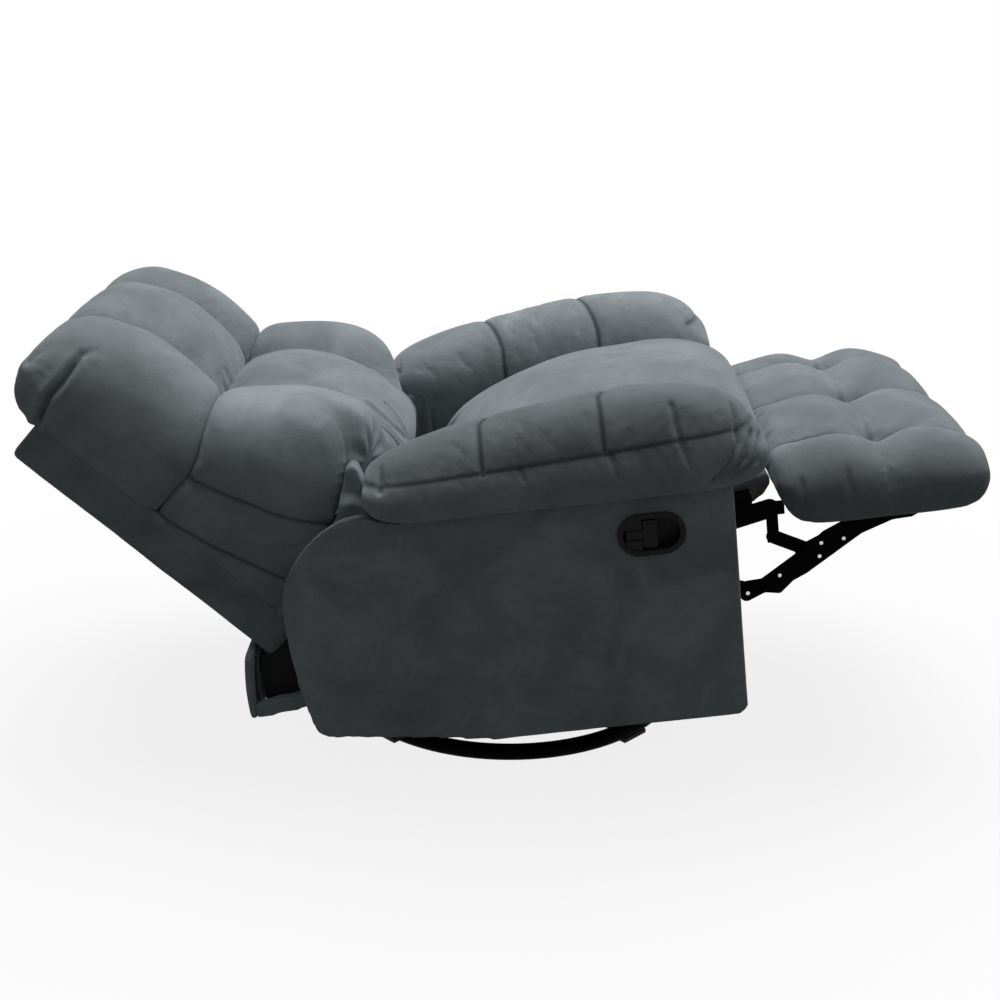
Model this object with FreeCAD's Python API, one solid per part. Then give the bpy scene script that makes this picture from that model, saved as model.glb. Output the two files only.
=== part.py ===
import FreeCAD, Part
import math
import os

V = FreeCAD.Vector
ALONG_Y = V(0, 1, 0)
ALONG_Z = V(0, 0, 1)

# Millimetres. +X is forward, +Y the sitter's left, +Z up, and Z 0 the floor.
# The chair is drawn level and then rocked back to the pose in the photograph.

# Rest pose
ROCK_AXIS_Z = 360.0
REST_ROCK = 6.7
RECLINE = 41.65
RECLINE_TRAVEL = 32.0
FOOTREST_TRAVEL = 90.0
HANDLE_TRAVEL = 32.0
ROCK_FORWARD = 14.7
ROCK_BACK = 3.0
SLIDE_TRAVEL = 40.0
SLIDE_PITCH = 21.8

# Fits
RUNNING_FIT = 0.05
OPEN_FIT = 0.4
SOFT_GAP = 0.3
RACE_FIT = 0.15
CAM_GAP = 0.3

# Floor ring and swivel
RING_RADIUS = 322.0
RING_TUBE = 30.0
GLIDE_UNDER = 3.0
GLIDE_LENGTH = 60.0
GLIDE_WIDTH = 26.0
ARM_COUNT = 4
BASE_ARM_WIDTH = 40.0
BASE_ARM_HEIGHT = 20.0
BASE_ARM_START = 45.0
HUB_RADIUS = 110.0
HUB_THICK = 6.0
RACE_RADIUS = 100.0
RACE_BORE = 20.0
RACE_THICK = 5.0
RACE_GAP = 3.0
BALL_PITCH = 85.0
BALL_SIZE = 8.0
BALL_COUNT = 24
SWIVEL_PLATE = 230.0
SWIVEL_PLATE_CORNER = 24.0
SWIVEL_PLATE_THICK = 5.0
BOLT_RADIUS = 8.0
BOLT_HEAD_RADIUS = 15.0
BOLT_HEAD = 10.0
NUT_RADIUS = 15.5
NUT_HEIGHT = 12.0

# Rocker base, cams and springs
ROCKER_TUBE_X = 105.0
ROCKER_TUBE_WIDTH = 50.0
ROCKER_TUBE_HEIGHT = 25.0
ROCKER_TUBE_WALL = 2.5
RAIL_LENGTH = 400.0
RAIL_INNER_Y = 178.0
RAIL_WIDTH = 38.0
RAIL_THICK = 6.0
CAM_INNER_Y = 184.0
CAM_THICK = 14.0
CAM_REAR_X = -185.0
CAM_TOP = 160.0
CAM_ARC_FRONT_X = 150.0
CAM_NOSE_LENGTH = 40.0
CAM_NOSE_HEIGHT = 24.0
CAM_SHOULDER_X = 200.0
BRIDGE_LENGTH = 60.0
BRIDGE_BOTTOM = 148.0
BRIDGE_THICK = 6.0
ROCK_SPRING_Y = 120.0
ROCK_SPRING_FRONT_X = 115.0
ROCK_SPRING_REAR_X = -94.0
ROCK_SPRING_RADIUS = 13.0
ROCK_SPRING_WIRE = 2.0
ROCK_SPRING_TURNS = 5

# Chair frame
PANEL_ROUND = 15.0
PANEL_BEND_X = -50.0
PANEL_HEEL_IN = 32.0
PANEL_HEEL_RISE = 40.0
PANEL_BELLY_RISE = 160.0
PANEL_BROW_DROP = 106.0
PANEL_SHOULDER_IN = 66.0
PANEL_SHOULDER_DROP = 26.0
PANEL_CREST_IN = 159.0
PANEL_THICK = 22.0
PANEL_FRONT_X = 387.0
PANEL_REAR_X = -384.0
PANEL_BOTTOM = 100.0
PANEL_TOP = 526.0
POST_FRONT_X = 380.0
POST_WIDTH = 60.0
TOP_RAIL_HEIGHT = 36.0
TOP_RAIL_REAR_X = -205.0
LOW_RAIL_THICK = 40.0
LOW_RAIL_BOTTOM = 102.0
LOW_RAIL_HEIGHT = 70.0
LOW_RAIL_RISE = 38.0
LOW_RAIL_REAR_X = -345.0
REAR_POST_REAR_X = -322.0
REAR_POST_WIDTH = 52.0
REAR_POST_THICK = 36.0
REAR_POST_GAP = 7.0
REAR_POST_TOP = 478.0
REAR_BLOCK_TOP = 330.0
CROSS_RAIL_DEPTH = 60.0
CROSS_RAIL_BOTTOM = 102.0
CROSS_RAIL_HEIGHT = 14.0
CROSS_RAIL_REAR_X = 312.0
CROSS_TUBE_SIZE = 30.0
CROSS_TUBE_WALL = 2.5
INNER_ARM_GAP = 8.0
INNER_ARM_THICK = 46.0
INNER_ARM_BOTTOM = 456.0
INNER_ARM_REAR_X = -150.0
INNER_ARM_FRONT_X = 378.0
ARM_PAD_REAR_X = -222.0
ARM_PAD_LENGTH = 668.0
ARM_PAD_HEIGHT = 172.0
ARM_PAD_INWARD = 5.0
ARM_PAD_OUTWARD = 43.0
ARM_CREST_SHARE = 0.485
REAR_PANEL_BACK_X = -473.0
REAR_PANEL_THICK = 16.0
REAR_PANEL_INSET = 13.0
REAR_PANEL_BOTTOM = 168.0
REAR_PANEL_TOP = 296.0
SIDE_RETURN_INSET = 1.0
SIDE_RETURN_THICK = 24.0
SIDE_RETURN_HEIGHT = 30.0
SIDE_RETURN_RISE = 17.0
DUST_COVER_Z = 178.0
DUST_COVER_THICK = 2.0

# Seat guides, plates and deck
GUIDE_THICK = 4.0
GUIDE_ABOVE = 30.0
GUIDE_BELOW = 126.0
GUIDE_TAIL = 80.0
SEAT_PLATE_THICK = 4.0
ROLLER_RADIUS = 8.0
ROLLER_HEAD_RADIUS = 12.0
ROLLER_HEAD = 2.6
FRONT_ROLLER_X = 265.0
FRONT_ROLLER_Z = 366.0
REAR_ROLLER_X = -140.0
REAR_ROLLER_Z = 300.0
DECK_Z = 387.0
DECK_PITCH = 9.2
DECK_FRONT_U = 436.0
DECK_REAR_U = -185.0
SEAT_RAIL_INSET = 18.0
SEAT_RAIL_WIDTH = 38.0
SEAT_RAIL_HEIGHT = 36.0
SEAT_CROSS_WIDTH = 34.0
SEAT_SPRING_COUNT = 4
SEAT_SPRING_BAYS = 12
SEAT_SPRING_HALF = 34.0
SPRING_WIRE = 2.0
SEAT_HALF = 264.0
SEAT_REAR_X = -178.0
SEAT_LENGTH = 648.0
SEAT_TOP = 645.0
SEAT_DROP = 253.0

# Footrest linkage: two parallelograms, so every pivot closes at every angle
LINK_THICK = 5.0
OUTER_LINK_THICK = 4.0
LINK_GAP = 1.0
LINK_WIDTH = 30.0
STUD_RADIUS = 4.0
STUD_HEAD_RADIUS = 6.5
STUD_HEAD = 2.2
RIVET_RADIUS = 3.5
RIVET_HEIGHT = 1.5
DRIVE_TUBE_RADIUS = 11.0
DRIVE_TUBE_WALL = 2.0
DRIVE_TUBE_END = 3.0
FRONT_PIVOT_X = 540.0
FRONT_PIVOT_Z = 336.0
CRANK_LENGTH = 212.0
CRANK_ANGLE = -18.3
CRANK_OVERHANG = -36.0
LONG_LINK_ANGLE = 23.5
LONG_LINK_REAR = 140.0
LONG_LINK_FRONT = 162.0
KNEE_X = 464.0
KNEE_TOP_Z = 441.0
KNEE_LOW_Z = 366.0
KNEE_WIDTH = 20.0
KNEE_PLATE_REAR_X = 434.0
KNEE_PLATE_WIDTH = 52.0
KNEE_PLATE_HEIGHT = 24.0
TOE_WIDTH = 24.0
LOWER_LINK_WIDTH = 15.0
BRACKET_REACH = 60.0
BRACKET_FLANGE = 24.0
BRACKET_FLANGE_THICK = 4.0
BOARD_BOTTOM = 420.0
BOARD_THICK = 12.0
BOARD_REAR_INSET = 77.0
BOARD_LENGTH = 250.0
BOARD_INSET = 43.0
PAD_HALF = 368.0
PAD_LENGTH = 362.0
PAD_CROWN = 552.0
PAD_SEAM_Y = 236.0

# Back
BACK_TAIL_X = -425.0
BACK_TAIL_Z = 280.0
BACK_PIVOT_X = -256.0
BACK_PIVOT_Z = 510.0
SHELL_HALF = 355.0
SHELL_WALL = 5.0
SHELL_DEPTH = 60.0
SHELL_HEIGHT = 562.0
SHELL_CORNER = 28.0
STILE_WIDTH = 45.0
BACK_FRAME_DEPTH = 40.0
BACK_RAIL_HEIGHT = 44.0
BACK_SPRING_COUNT = 4
BACK_SPRING_BAYS = 10
BACK_SPRING_HALF = 34.0
HINGE_PLATE_THICK = 4.0
HINGE_PLATE_WIDTH = 40.0
HINGE_FOOT_HEIGHT = 130.0
PIVOT_PIN_RADIUS = 7.0
PIVOT_BRACKET_THICK = 4.0
BACK_SEAM_S = 378.0
BACK_SEAM_Y = 150.0
BACK_DEPTH = 326.0
HINGE_COVER_GAP = 3.7
HEAD_OVERHANG = 5.0
ROLL_TOP_S = 640.0

# Release handle on the sitter's right
BEZEL_X = 246.0
BEZEL_Z = 454.0
BEZEL_LENGTH = 114.0
BEZEL_HEIGHT = 74.0
BEZEL_PROUD = 4.0
CUP_LENGTH = 96.0
CUP_HEIGHT = 56.0
CUP_WALL = 3.0
CUP_DEPTH = 26.0
CUP_FIT = 0.3
HANDLE_PIN_X = 207.0
HANDLE_PIN_RADIUS = 2.5
HANDLE_PIN_IN = 7.0
HANDLE_BARREL_RADIUS = 4.8
HANDLE_BARREL_HALF = 8.0
HANDLE_THICK = 8.0
HANDLE_GRIP_X = 232.0
HANDLE_GRIP_LENGTH = 24.0
HANDLE_GRIP_HEIGHT = 48.0
HANDLE_STEM_HEIGHT = 15.0

# Places that follow from the sizes above
RING_Z = GLIDE_UNDER + RING_TUBE / 2
GLIDE_TOP = RING_Z - BASE_ARM_HEIGHT / 2
HUB_Z = RING_Z + BASE_ARM_HEIGHT / 2
LOWER_RACE_Z = HUB_Z + HUB_THICK
UPPER_RACE_Z = LOWER_RACE_Z + RACE_THICK + RACE_GAP
BALL_Z = UPPER_RACE_Z - RACE_GAP / 2
SWIVEL_Z = UPPER_RACE_Z + RACE_THICK
ROCKER_TUBE_Z = SWIVEL_Z + SWIVEL_PLATE_THICK
RAIL_Z = ROCKER_TUBE_Z + ROCKER_TUBE_HEIGHT
RAIL_TOP = RAIL_Z + RAIL_THICK
CAM_RADIUS = ROCK_AXIS_Z - RAIL_TOP - CAM_GAP
REAR_POST_INNER_Y = SHELL_HALF + REAR_POST_GAP
PANEL_INNER_Y = REAR_POST_INNER_Y + REAR_POST_THICK
PANEL_OUTER_Y = PANEL_INNER_Y + PANEL_THICK
LOW_RAIL_INNER_Y = PANEL_INNER_Y - LOW_RAIL_THICK
REAR_PANEL_HALF = PANEL_INNER_Y - REAR_PANEL_INSET
SIDE_RETURN_INNER_Y = REAR_PANEL_HALF - SIDE_RETURN_INSET - SIDE_RETURN_THICK
INNER_ARM_FACE_Y = SEAT_HALF + INNER_ARM_GAP
POST_INNER_Y = INNER_ARM_FACE_Y + INNER_ARM_THICK
ARM_PAD_INNER_Y = INNER_ARM_FACE_Y - ARM_PAD_INWARD
ARM_PAD_WIDTH = PANEL_OUTER_Y + ARM_PAD_OUTWARD - ARM_PAD_INNER_Y
ARM_CREST_Y = ARM_PAD_INNER_Y + ARM_CREST_SHARE * ARM_PAD_WIDTH
SEAT_RAIL_INNER_Y = SEAT_HALF - SEAT_RAIL_INSET
LAYER_C = POST_INNER_Y - GUIDE_THICK - STUD_HEAD - 2 * SOFT_GAP - OUTER_LINK_THICK
SEAT_PLATE_INNER_Y = LAYER_C - LINK_GAP - SEAT_PLATE_THICK
LAYER_A = SEAT_PLATE_INNER_Y - LINK_GAP - LINK_THICK
LAYER_U = LAYER_C - LINK_GAP - OUTER_LINK_THICK
FACE_A = LAYER_A + LINK_THICK
FACE_C = LAYER_C + OUTER_LINK_THICK
FACE_U = LAYER_U + OUTER_LINK_THICK
DRIVE_TUBE_HALF = SEAT_PLATE_INNER_Y + SEAT_PLATE_THICK + DRIVE_TUBE_END
PAD_REAR_X = SEAT_REAR_X + SEAT_LENGTH
BOARD_REAR_X = PAD_REAR_X + BOARD_REAR_INSET
BOARD_FRONT_X = BOARD_REAR_X + BOARD_LENGTH
BOARD_HALF = PAD_HALF - BOARD_INSET
STILE_OUTER_Y = SHELL_HALF - SHELL_WALL - SOFT_GAP - HINGE_PLATE_THICK
LOWER_BACK_HALF = STILE_OUTER_Y - HINGE_COVER_GAP
UPPER_BACK_HALF = SHELL_HALF + HEAD_OVERHANG
PIVOT_BRACKET_Y = REAR_POST_INNER_Y - PIVOT_BRACKET_THICK
CUSHION_N = SHELL_DEPTH + SOFT_GAP
FRONT_ROLLER = (FRONT_ROLLER_X, FRONT_ROLLER_Z)
REAR_ROLLER = (REAR_ROLLER_X, REAR_ROLLER_Z)
BACK_TAIL = (BACK_TAIL_X, BACK_TAIL_Z)
BACK_PIVOT = (BACK_PIVOT_X, BACK_PIVOT_Z)


def away(point, length, degrees):
    """The point in the XZ plane at a length and slope from another."""
    a = math.radians(degrees)
    return (point[0] + length * math.cos(a), point[1] + length * math.sin(a))


FRONT_PIVOT = (FRONT_PIVOT_X, FRONT_PIVOT_Z)
DRIVE_PIVOT = away(FRONT_PIVOT, -CRANK_LENGTH, CRANK_ANGLE)
LONG_REAR_PIVOT = away(FRONT_PIVOT, -LONG_LINK_REAR, LONG_LINK_ANGLE)
LONG_FRONT_PIVOT = away(FRONT_PIVOT, LONG_LINK_FRONT, LONG_LINK_ANGLE)
REAR_PIVOT = away(LONG_REAR_PIVOT, -CRANK_LENGTH, CRANK_ANGLE)
CRANK_TIP = away(FRONT_PIVOT, CRANK_OVERHANG, CRANK_ANGLE)
LOWER_FRONT_PIVOT = away(LONG_FRONT_PIVOT, CRANK_OVERHANG, CRANK_ANGLE)
SLIDE_STEP = away((0.0, 0.0), -SLIDE_TRAVEL, SLIDE_PITCH)


def deck_z(x):
    """Height of the seat deck above a station along the chair."""
    return DECK_Z + x * math.tan(math.radians(DECK_PITCH))


def back_local(point):
    """The n and s of a level-chair point."""
    a = math.radians(RECLINE)
    dx = point[0] - BACK_TAIL[0]
    dz = point[1] - BACK_TAIL[1]
    return (dx * math.cos(a) + dz * math.sin(a), dz * math.cos(a) - dx * math.sin(a))


def box(x0, x1, y0, y1, z0, z1):
    return Part.makeBox(x1 - x0, y1 - y0, z1 - z0, V(x0, y0, z0))


def pin_y(point, radius, y0, y1):
    return Part.makeCylinder(radius, y1 - y0, V(point[0], y0, point[1]), ALONG_Y)


def disc(radius, z0, z1):
    return Part.makeCylinder(radius, z1 - z0, V(0, 0, z0), ALONG_Z)


def other_side(shape):
    return shape.mirror(V(0, 0, 0), ALONG_Y)


def both_sides(shape):
    return Part.makeCompound([shape, other_side(shape)])


def tilted(shape, degrees, x, z):
    """A copy turned about a crosswise line, its top forward for a positive angle."""
    turned = shape.copy()
    turned.rotate(V(x, 0, z), ALONG_Y, degrees)
    return turned


def rounded_wire(points, place):
    """A closed outline through corners (a, b, radius) laid in space by place(a, b)."""
    count = len(points)
    edges = []
    ends = []
    for i in range(count):
        here = V(points[i][0], points[i][1], 0)
        before = V(points[i - 1][0], points[i - 1][1], 0) - here
        after = V(points[(i + 1) % count][0], points[(i + 1) % count][1], 0) - here
        radius = points[i][2]
        half = before.getAngle(after) / 2
        before.normalize()
        after.normalize()
        cut = radius / math.tan(half)
        middle = before + after
        middle.normalize()
        centre = here + middle * (radius / math.sin(half))
        ends.append((here + before * cut, centre - middle * radius, here + after * cut))
    for i in range(count):
        first, bulge, last = [place(p.x, p.y) for p in ends[i]]
        follow = place(ends[(i + 1) % count][0].x, ends[(i + 1) % count][0].y)
        if points[i][2] > 0:
            edges.append(Part.Arc(first, bulge, last).toShape())
        edges.append(Part.makeLine(last, follow))
    return Part.Wire(edges)


def side_plate(points, y0, y1):
    """A plate with a rounded outline in the XZ plane, between two widths."""
    wire = rounded_wire(points, lambda a, b: V(a, y0, b))
    return Part.Face(wire).extrude(V(0, y1 - y0, 0))


def strip(p, q, width, y0, y1):
    """A bar with round ends between two pivots."""
    run = V(q[0] - p[0], 0, q[1] - p[1])
    out = V(-run.z, 0, run.x)
    run.normalize()
    out.normalize()
    r = width / 2
    a = V(p[0], y0, p[1])
    b = V(q[0], y0, q[1])
    edges = [
        Part.makeLine(a + out * r, b + out * r),
        Part.Arc(b + out * r, b + run * r, b - out * r).toShape(),
        Part.makeLine(b - out * r, a - out * r),
        Part.Arc(a - out * r, a - run * r, a + out * r).toShape(),
    ]
    return Part.Face(Part.Wire(edges)).extrude(V(0, y1 - y0, 0))


def deck_box(u0, u1, y0, y1, w0, w1):
    """A box along the pitched seat deck; w 0 is the deck."""
    return tilted(box(u0, u1, y0, y1, DECK_Z + w0, DECK_Z + w1), -DECK_PITCH, 0, DECK_Z)


def lay_back(shape):
    """Carry a shape drawn upright, n along X and s along Z, to the reclined back."""
    placed = tilted(shape, -RECLINE, 0, 0)
    placed.translate(V(BACK_TAIL[0], 0, BACK_TAIL[1]))
    return placed


def arc(p, q, r):
    return Part.Arc(p, q, r).toShape()


def loft(wires):
    return Part.makeLoft(wires, True, False)


def swept_wire(edges, radius, start, direction):
    """One tube along joined lines and arcs."""
    profile = Part.Wire([Part.makeCircle(radius, start, direction)])
    shell = Part.BRepOffsetAPI.MakePipeShell(Part.Wire(edges))
    shell.add(profile)
    shell.build()
    shell.makeSolid()
    return shell.shape()


def arc_from_tangent(p, tangent, q):
    """The arc that leaves p along a tangent and ends at q."""
    chord = q - p
    length = chord.Length
    along = V(chord)
    along.normalize()
    side = tangent - along * tangent.dot(along)
    angle = tangent.getAngle(along)
    if side.Length < 1e-9:
        return Part.makeLine(p, q)
    side.normalize()
    bulge = p + chord * 0.5 + side * (length / 2 * math.tan(angle / 2))
    return arc(p, bulge, q)


def biarc(p, tp, q, tq):
    """Two arcs that join two points along their tangents."""
    run = q - p
    total = tp + tq
    spread = 2 * (1 - tp.dot(tq))
    lean = run.dot(total)
    reach = (-lean + math.sqrt(lean * lean + spread * run.dot(run))) / spread
    joint = (p + tp * reach + q - tq * reach) * 0.5
    second = arc_from_tangent(q, tq * -1.0, joint)
    return [arc_from_tangent(p, tp, joint), second]


def coil(x, y, z0, z1, radius, wire, turns):
    """A compression spring standing on Z, one unbroken tube of quarter-turn biarcs."""
    steps = 4 * turns
    rise = (z1 - z0 - 2 * wire) / steps
    climb = rise / (math.pi / 2)
    points = []
    tangents = []
    for i in range(steps + 1):
        a = i * math.pi / 2
        points.append(V(x + radius * math.cos(a), y + radius * math.sin(a), z0 + wire + i * rise))
        slope = V(-radius * math.sin(a), radius * math.cos(a), climb)
        slope.normalize()
        tangents.append(slope)
    edges = []
    for i in range(steps):
        edges += biarc(points[i], tangents[i], points[i + 1], tangents[i + 1])
    least = min((points[i + 4] - points[i]).Length for i in range(steps - 3)) - 2 * wire
    print("spring gap", round(least, 2))
    return swept_wire(edges, wire, points[0], tangents[0])


def zigzag(length, half, bays, wire, place):
    """A flat serpentine spring along u, its cross wires along v, laid by place(u, v)."""
    turn = length / (bays - 1) / 2
    reach = half - turn
    quarter = turn * math.sqrt(0.5)
    edges = []
    for i in range(bays):
        u = i * 2 * turn
        side = 1 if i % 2 == 0 else -1
        edges.append(Part.makeLine(place(u, -side * reach), place(u, side * reach)))
        if i == bays - 1:
            break
        top = place(u + turn, side * half)
        lead = place(u + turn - quarter, side * (reach + quarter))
        edges.append(arc(place(u, side * reach), lead, top))
        trail = place(u + turn + quarter, side * (reach + quarter))
        edges.append(arc(top, trail, place(u + 2 * turn, side * reach)))
    start = place(0, -reach)
    return swept_wire(edges, wire, start, place(0, reach) - start)


# Floor ring and swivel

def ring_solid():
    return Part.makeTorus(RING_RADIUS, RING_TUBE / 2, V(0, 0, RING_Z), ALONG_Z)


def around(shape, count, start):
    copies = []
    for i in range(count):
        turned = shape.copy()
        turned.rotate(V(0, 0, 0), ALONG_Z, start + i * 360.0 / count)
        copies.append(turned)
    return copies


def floor_glides():
    half = GLIDE_WIDTH / 2
    block = box(RING_RADIUS - half, RING_RADIUS + half, -GLIDE_LENGTH / 2, GLIDE_LENGTH / 2, 0, GLIDE_TOP)
    return Part.makeCompound(around(block.cut(ring_solid()), ARM_COUNT, 180.0 / ARM_COUNT))


def base_arms():
    low = RING_Z - BASE_ARM_HEIGHT / 2
    half = BASE_ARM_WIDTH / 2
    bar = box(BASE_ARM_START, RING_RADIUS, -half, half, low, HUB_Z)
    return Part.makeCompound(around(bar.cut(ring_solid()), ARM_COUNT, 180.0 / ARM_COUNT))


def hub_plate():
    return disc(HUB_RADIUS, HUB_Z, LOWER_RACE_Z).cut(disc(BOLT_RADIUS, HUB_Z, LOWER_RACE_Z))


def race(z0):
    groove = Part.makeTorus(BALL_PITCH, BALL_SIZE / 2 + RACE_FIT, V(0, 0, BALL_Z), ALONG_Z)
    bore = disc(RACE_BORE, z0, z0 + RACE_THICK)
    return disc(RACE_RADIUS, z0, z0 + RACE_THICK).cut(bore).cut(groove)


def bearing_balls():
    ball = Part.makeSphere(BALL_SIZE / 2, V(BALL_PITCH, 0, BALL_Z))
    return Part.makeCompound(around(ball, BALL_COUNT, 0))


def pivot_bolt():
    top = ROCKER_TUBE_Z + SOFT_GAP
    shank = disc(BOLT_RADIUS, HUB_Z, top)
    head = disc(BOLT_HEAD_RADIUS, HUB_Z - BOLT_HEAD, HUB_Z)
    corners = []
    for i in range(7):
        a = math.radians(60 * i)
        corners.append(V(NUT_RADIUS * math.cos(a), NUT_RADIUS * math.sin(a), top))
    nut = Part.Face(Part.makePolygon(corners)).extrude(V(0, 0, NUT_HEIGHT))
    return head.fuse(shank).fuse(nut).removeSplitter()


def swivel_plate():
    h = SWIVEL_PLATE / 2
    c = SWIVEL_PLATE_CORNER
    corners = [(h, h, c), (-h, h, c), (-h, -h, c), (h, -h, c)]
    wire = rounded_wire(corners, lambda a, b: V(a, b, SWIVEL_Z))
    plate = Part.Face(wire).extrude(V(0, 0, SWIVEL_PLATE_THICK))
    return plate.cut(disc(BOLT_RADIUS + RUNNING_FIT, SWIVEL_Z, ROCKER_TUBE_Z))


# Rocker base, cams and springs

def rocker_base_tubes():
    half = RAIL_INNER_Y + RAIL_WIDTH
    tubes = []
    for x in (-ROCKER_TUBE_X, ROCKER_TUBE_X):
        x0 = x - ROCKER_TUBE_WIDTH / 2
        x1 = x + ROCKER_TUBE_WIDTH / 2
        w = ROCKER_TUBE_WALL
        outer = box(x0, x1, -half, half, ROCKER_TUBE_Z, RAIL_Z)
        tubes.append(outer.cut(box(x0 + w, x1 - w, -half, half, ROCKER_TUBE_Z + w, RAIL_Z - w)))
    return Part.makeCompound(tubes)


def rocker_rails():
    h = RAIL_LENGTH / 2
    return both_sides(box(-h, h, RAIL_INNER_Y, RAIL_INNER_Y + RAIL_WIDTH, RAIL_Z, RAIL_TOP))


def cam_z(x):
    return ROCK_AXIS_Z - math.sqrt(CAM_RADIUS ** 2 - x ** 2)


def rocker_cam():
    y0 = CAM_INNER_Y
    seat = CROSS_RAIL_BOTTOM + CROSS_RAIL_HEIGHT
    nose = CROSS_RAIL_REAR_X + CAM_NOSE_LENGTH
    rear = V(CAM_REAR_X, y0, cam_z(CAM_REAR_X))
    front = V(CAM_ARC_FRONT_X, y0, cam_z(CAM_ARC_FRONT_X))
    corners = [
        front,
        V(CROSS_RAIL_REAR_X, y0, seat),
        V(nose, y0, seat),
        V(nose, y0, seat + CAM_NOSE_HEIGHT),
        V(CAM_SHOULDER_X, y0, CAM_TOP),
        V(CAM_REAR_X, y0, CAM_TOP),
        rear,
    ]
    edges = [Part.makeLine(corners[i], corners[i + 1]) for i in range(6)]
    edges.append(arc(rear, V(0, y0, cam_z(0)), front))
    return Part.Face(Part.Wire(edges)).extrude(V(0, CAM_THICK, 0))


def spring_bridges():
    bars = []
    for x in (-ROCKER_TUBE_X, ROCKER_TUBE_X):
        h = BRIDGE_LENGTH / 2
        top = BRIDGE_BOTTOM + BRIDGE_THICK
        bars.append(box(x - h, x + h, -CAM_INNER_Y, CAM_INNER_Y, BRIDGE_BOTTOM, top))
    return Part.makeCompound(bars)


def bridge_under(x, reach):
    """Least height under a rocked-back spring bridge over a spring at x."""
    a = math.radians(REST_ROCK)
    drop = BRIDGE_BOTTOM - ROCK_AXIS_Z
    return ROCK_AXIS_Z + (x - reach) * math.tan(a) + drop / math.cos(a)


def rocker_springs():
    coils = []
    for x in (ROCK_SPRING_FRONT_X, ROCK_SPRING_REAR_X):
        top = bridge_under(x, ROCK_SPRING_RADIUS + ROCK_SPRING_WIRE) - SOFT_GAP
        for y in (-ROCK_SPRING_Y, ROCK_SPRING_Y):
            coils.append(coil(x, y, RAIL_Z, top, ROCK_SPRING_RADIUS, ROCK_SPRING_WIRE, ROCK_SPRING_TURNS))
    return Part.makeCompound(coils)


# Chair frame

def rear_cross_tube():
    x1 = CAM_REAR_X + CROSS_TUBE_SIZE
    z1 = CAM_TOP + CROSS_TUBE_SIZE
    w = CROSS_TUBE_WALL
    y = LOW_RAIL_INNER_Y
    return box(CAM_REAR_X, x1, -y, y, CAM_TOP, z1).cut(box(CAM_REAR_X + w, x1 - w, -y, y, CAM_TOP + w, z1 - w))


def front_cross_rail():
    y = LOW_RAIL_INNER_Y
    x1 = CROSS_RAIL_REAR_X + CROSS_RAIL_DEPTH
    z1 = CROSS_RAIL_BOTTOM + CROSS_RAIL_HEIGHT
    return box(CROSS_RAIL_REAR_X, x1, -y, y, CROSS_RAIL_BOTTOM, z1)


def side_panel():
    outline = [
        (PANEL_FRONT_X, PANEL_BOTTOM + 2, PANEL_ROUND),
        (PANEL_BEND_X, PANEL_BOTTOM, 10 * PANEL_ROUND),
        (PANEL_REAR_X + PANEL_HEEL_IN, PANEL_BOTTOM + PANEL_HEEL_RISE, 2 * PANEL_ROUND),
        (PANEL_REAR_X, PANEL_BOTTOM + PANEL_BELLY_RISE, 8 * PANEL_ROUND),
        (PANEL_REAR_X + 2, PANEL_TOP - PANEL_BROW_DROP, 3 * PANEL_ROUND),
        (PANEL_REAR_X + PANEL_SHOULDER_IN, PANEL_TOP - PANEL_SHOULDER_DROP, 4 * PANEL_ROUND),
        (PANEL_REAR_X + PANEL_CREST_IN, PANEL_TOP, 2 * PANEL_ROUND),
        (PANEL_FRONT_X, PANEL_TOP, PANEL_ROUND / 3),
    ]
    return side_plate(outline, PANEL_INNER_Y, PANEL_OUTER_Y)


def arm_frame():
    y0 = POST_INNER_Y
    y1 = PANEL_INNER_Y
    low_top = LOW_RAIL_BOTTOM + LOW_RAIL_HEIGHT
    post_rear = POST_FRONT_X - POST_WIDTH
    rail_low = PANEL_TOP - TOP_RAIL_HEIGHT
    low_rail = side_plate(
        [
            (POST_FRONT_X, LOW_RAIL_BOTTOM, 0),
            (POST_FRONT_X, low_top, 0),
            (LOW_RAIL_REAR_X, low_top + LOW_RAIL_RISE, 0),
            (LOW_RAIL_REAR_X, LOW_RAIL_BOTTOM + LOW_RAIL_RISE, 0),
            (-50, LOW_RAIL_BOTTOM, 0),
        ],
        LOW_RAIL_INNER_Y,
        y1,
    )
    top_rail = box(TOP_RAIL_REAR_X, post_rear, y0, y1, rail_low, PANEL_TOP)
    front_post = box(post_rear, POST_FRONT_X, y0, y1, low_top + 3, PANEL_TOP)
    front_post = front_post.cut(low_rail)
    foot = LOW_RAIL_BOTTOM + LOW_RAIL_HEIGHT + LOW_RAIL_RISE
    post_front = REAR_POST_REAR_X + REAR_POST_WIDTH
    rear_post = box(REAR_POST_REAR_X, post_front, REAR_POST_INNER_Y, y1, foot, REAR_POST_TOP)
    block = box(REAR_POST_REAR_X, post_front, y0, REAR_POST_INNER_Y, foot, REAR_BLOCK_TOP)
    tie = side_plate(
        [
            (post_front, REAR_POST_TOP - 60, 0),
            (TOP_RAIL_REAR_X, rail_low, 0),
            (TOP_RAIL_REAR_X, PANEL_TOP - 4, 0),
            (post_front, REAR_POST_TOP, 0),
        ],
        REAR_POST_INNER_Y + 8,
        y1,
    )
    return Part.makeCompound([low_rail, top_rail, front_post, rear_post, block, tie])


def inner_arm():
    outline = [
        (INNER_ARM_FRONT_X, INNER_ARM_BOTTOM, 8),
        (INNER_ARM_FRONT_X, PANEL_TOP, 8),
        (INNER_ARM_REAR_X, PANEL_TOP, 20),
        (INNER_ARM_REAR_X, INNER_ARM_BOTTOM, 8),
    ]
    return side_plate(outline, INNER_ARM_FACE_Y, POST_INNER_Y)


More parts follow.
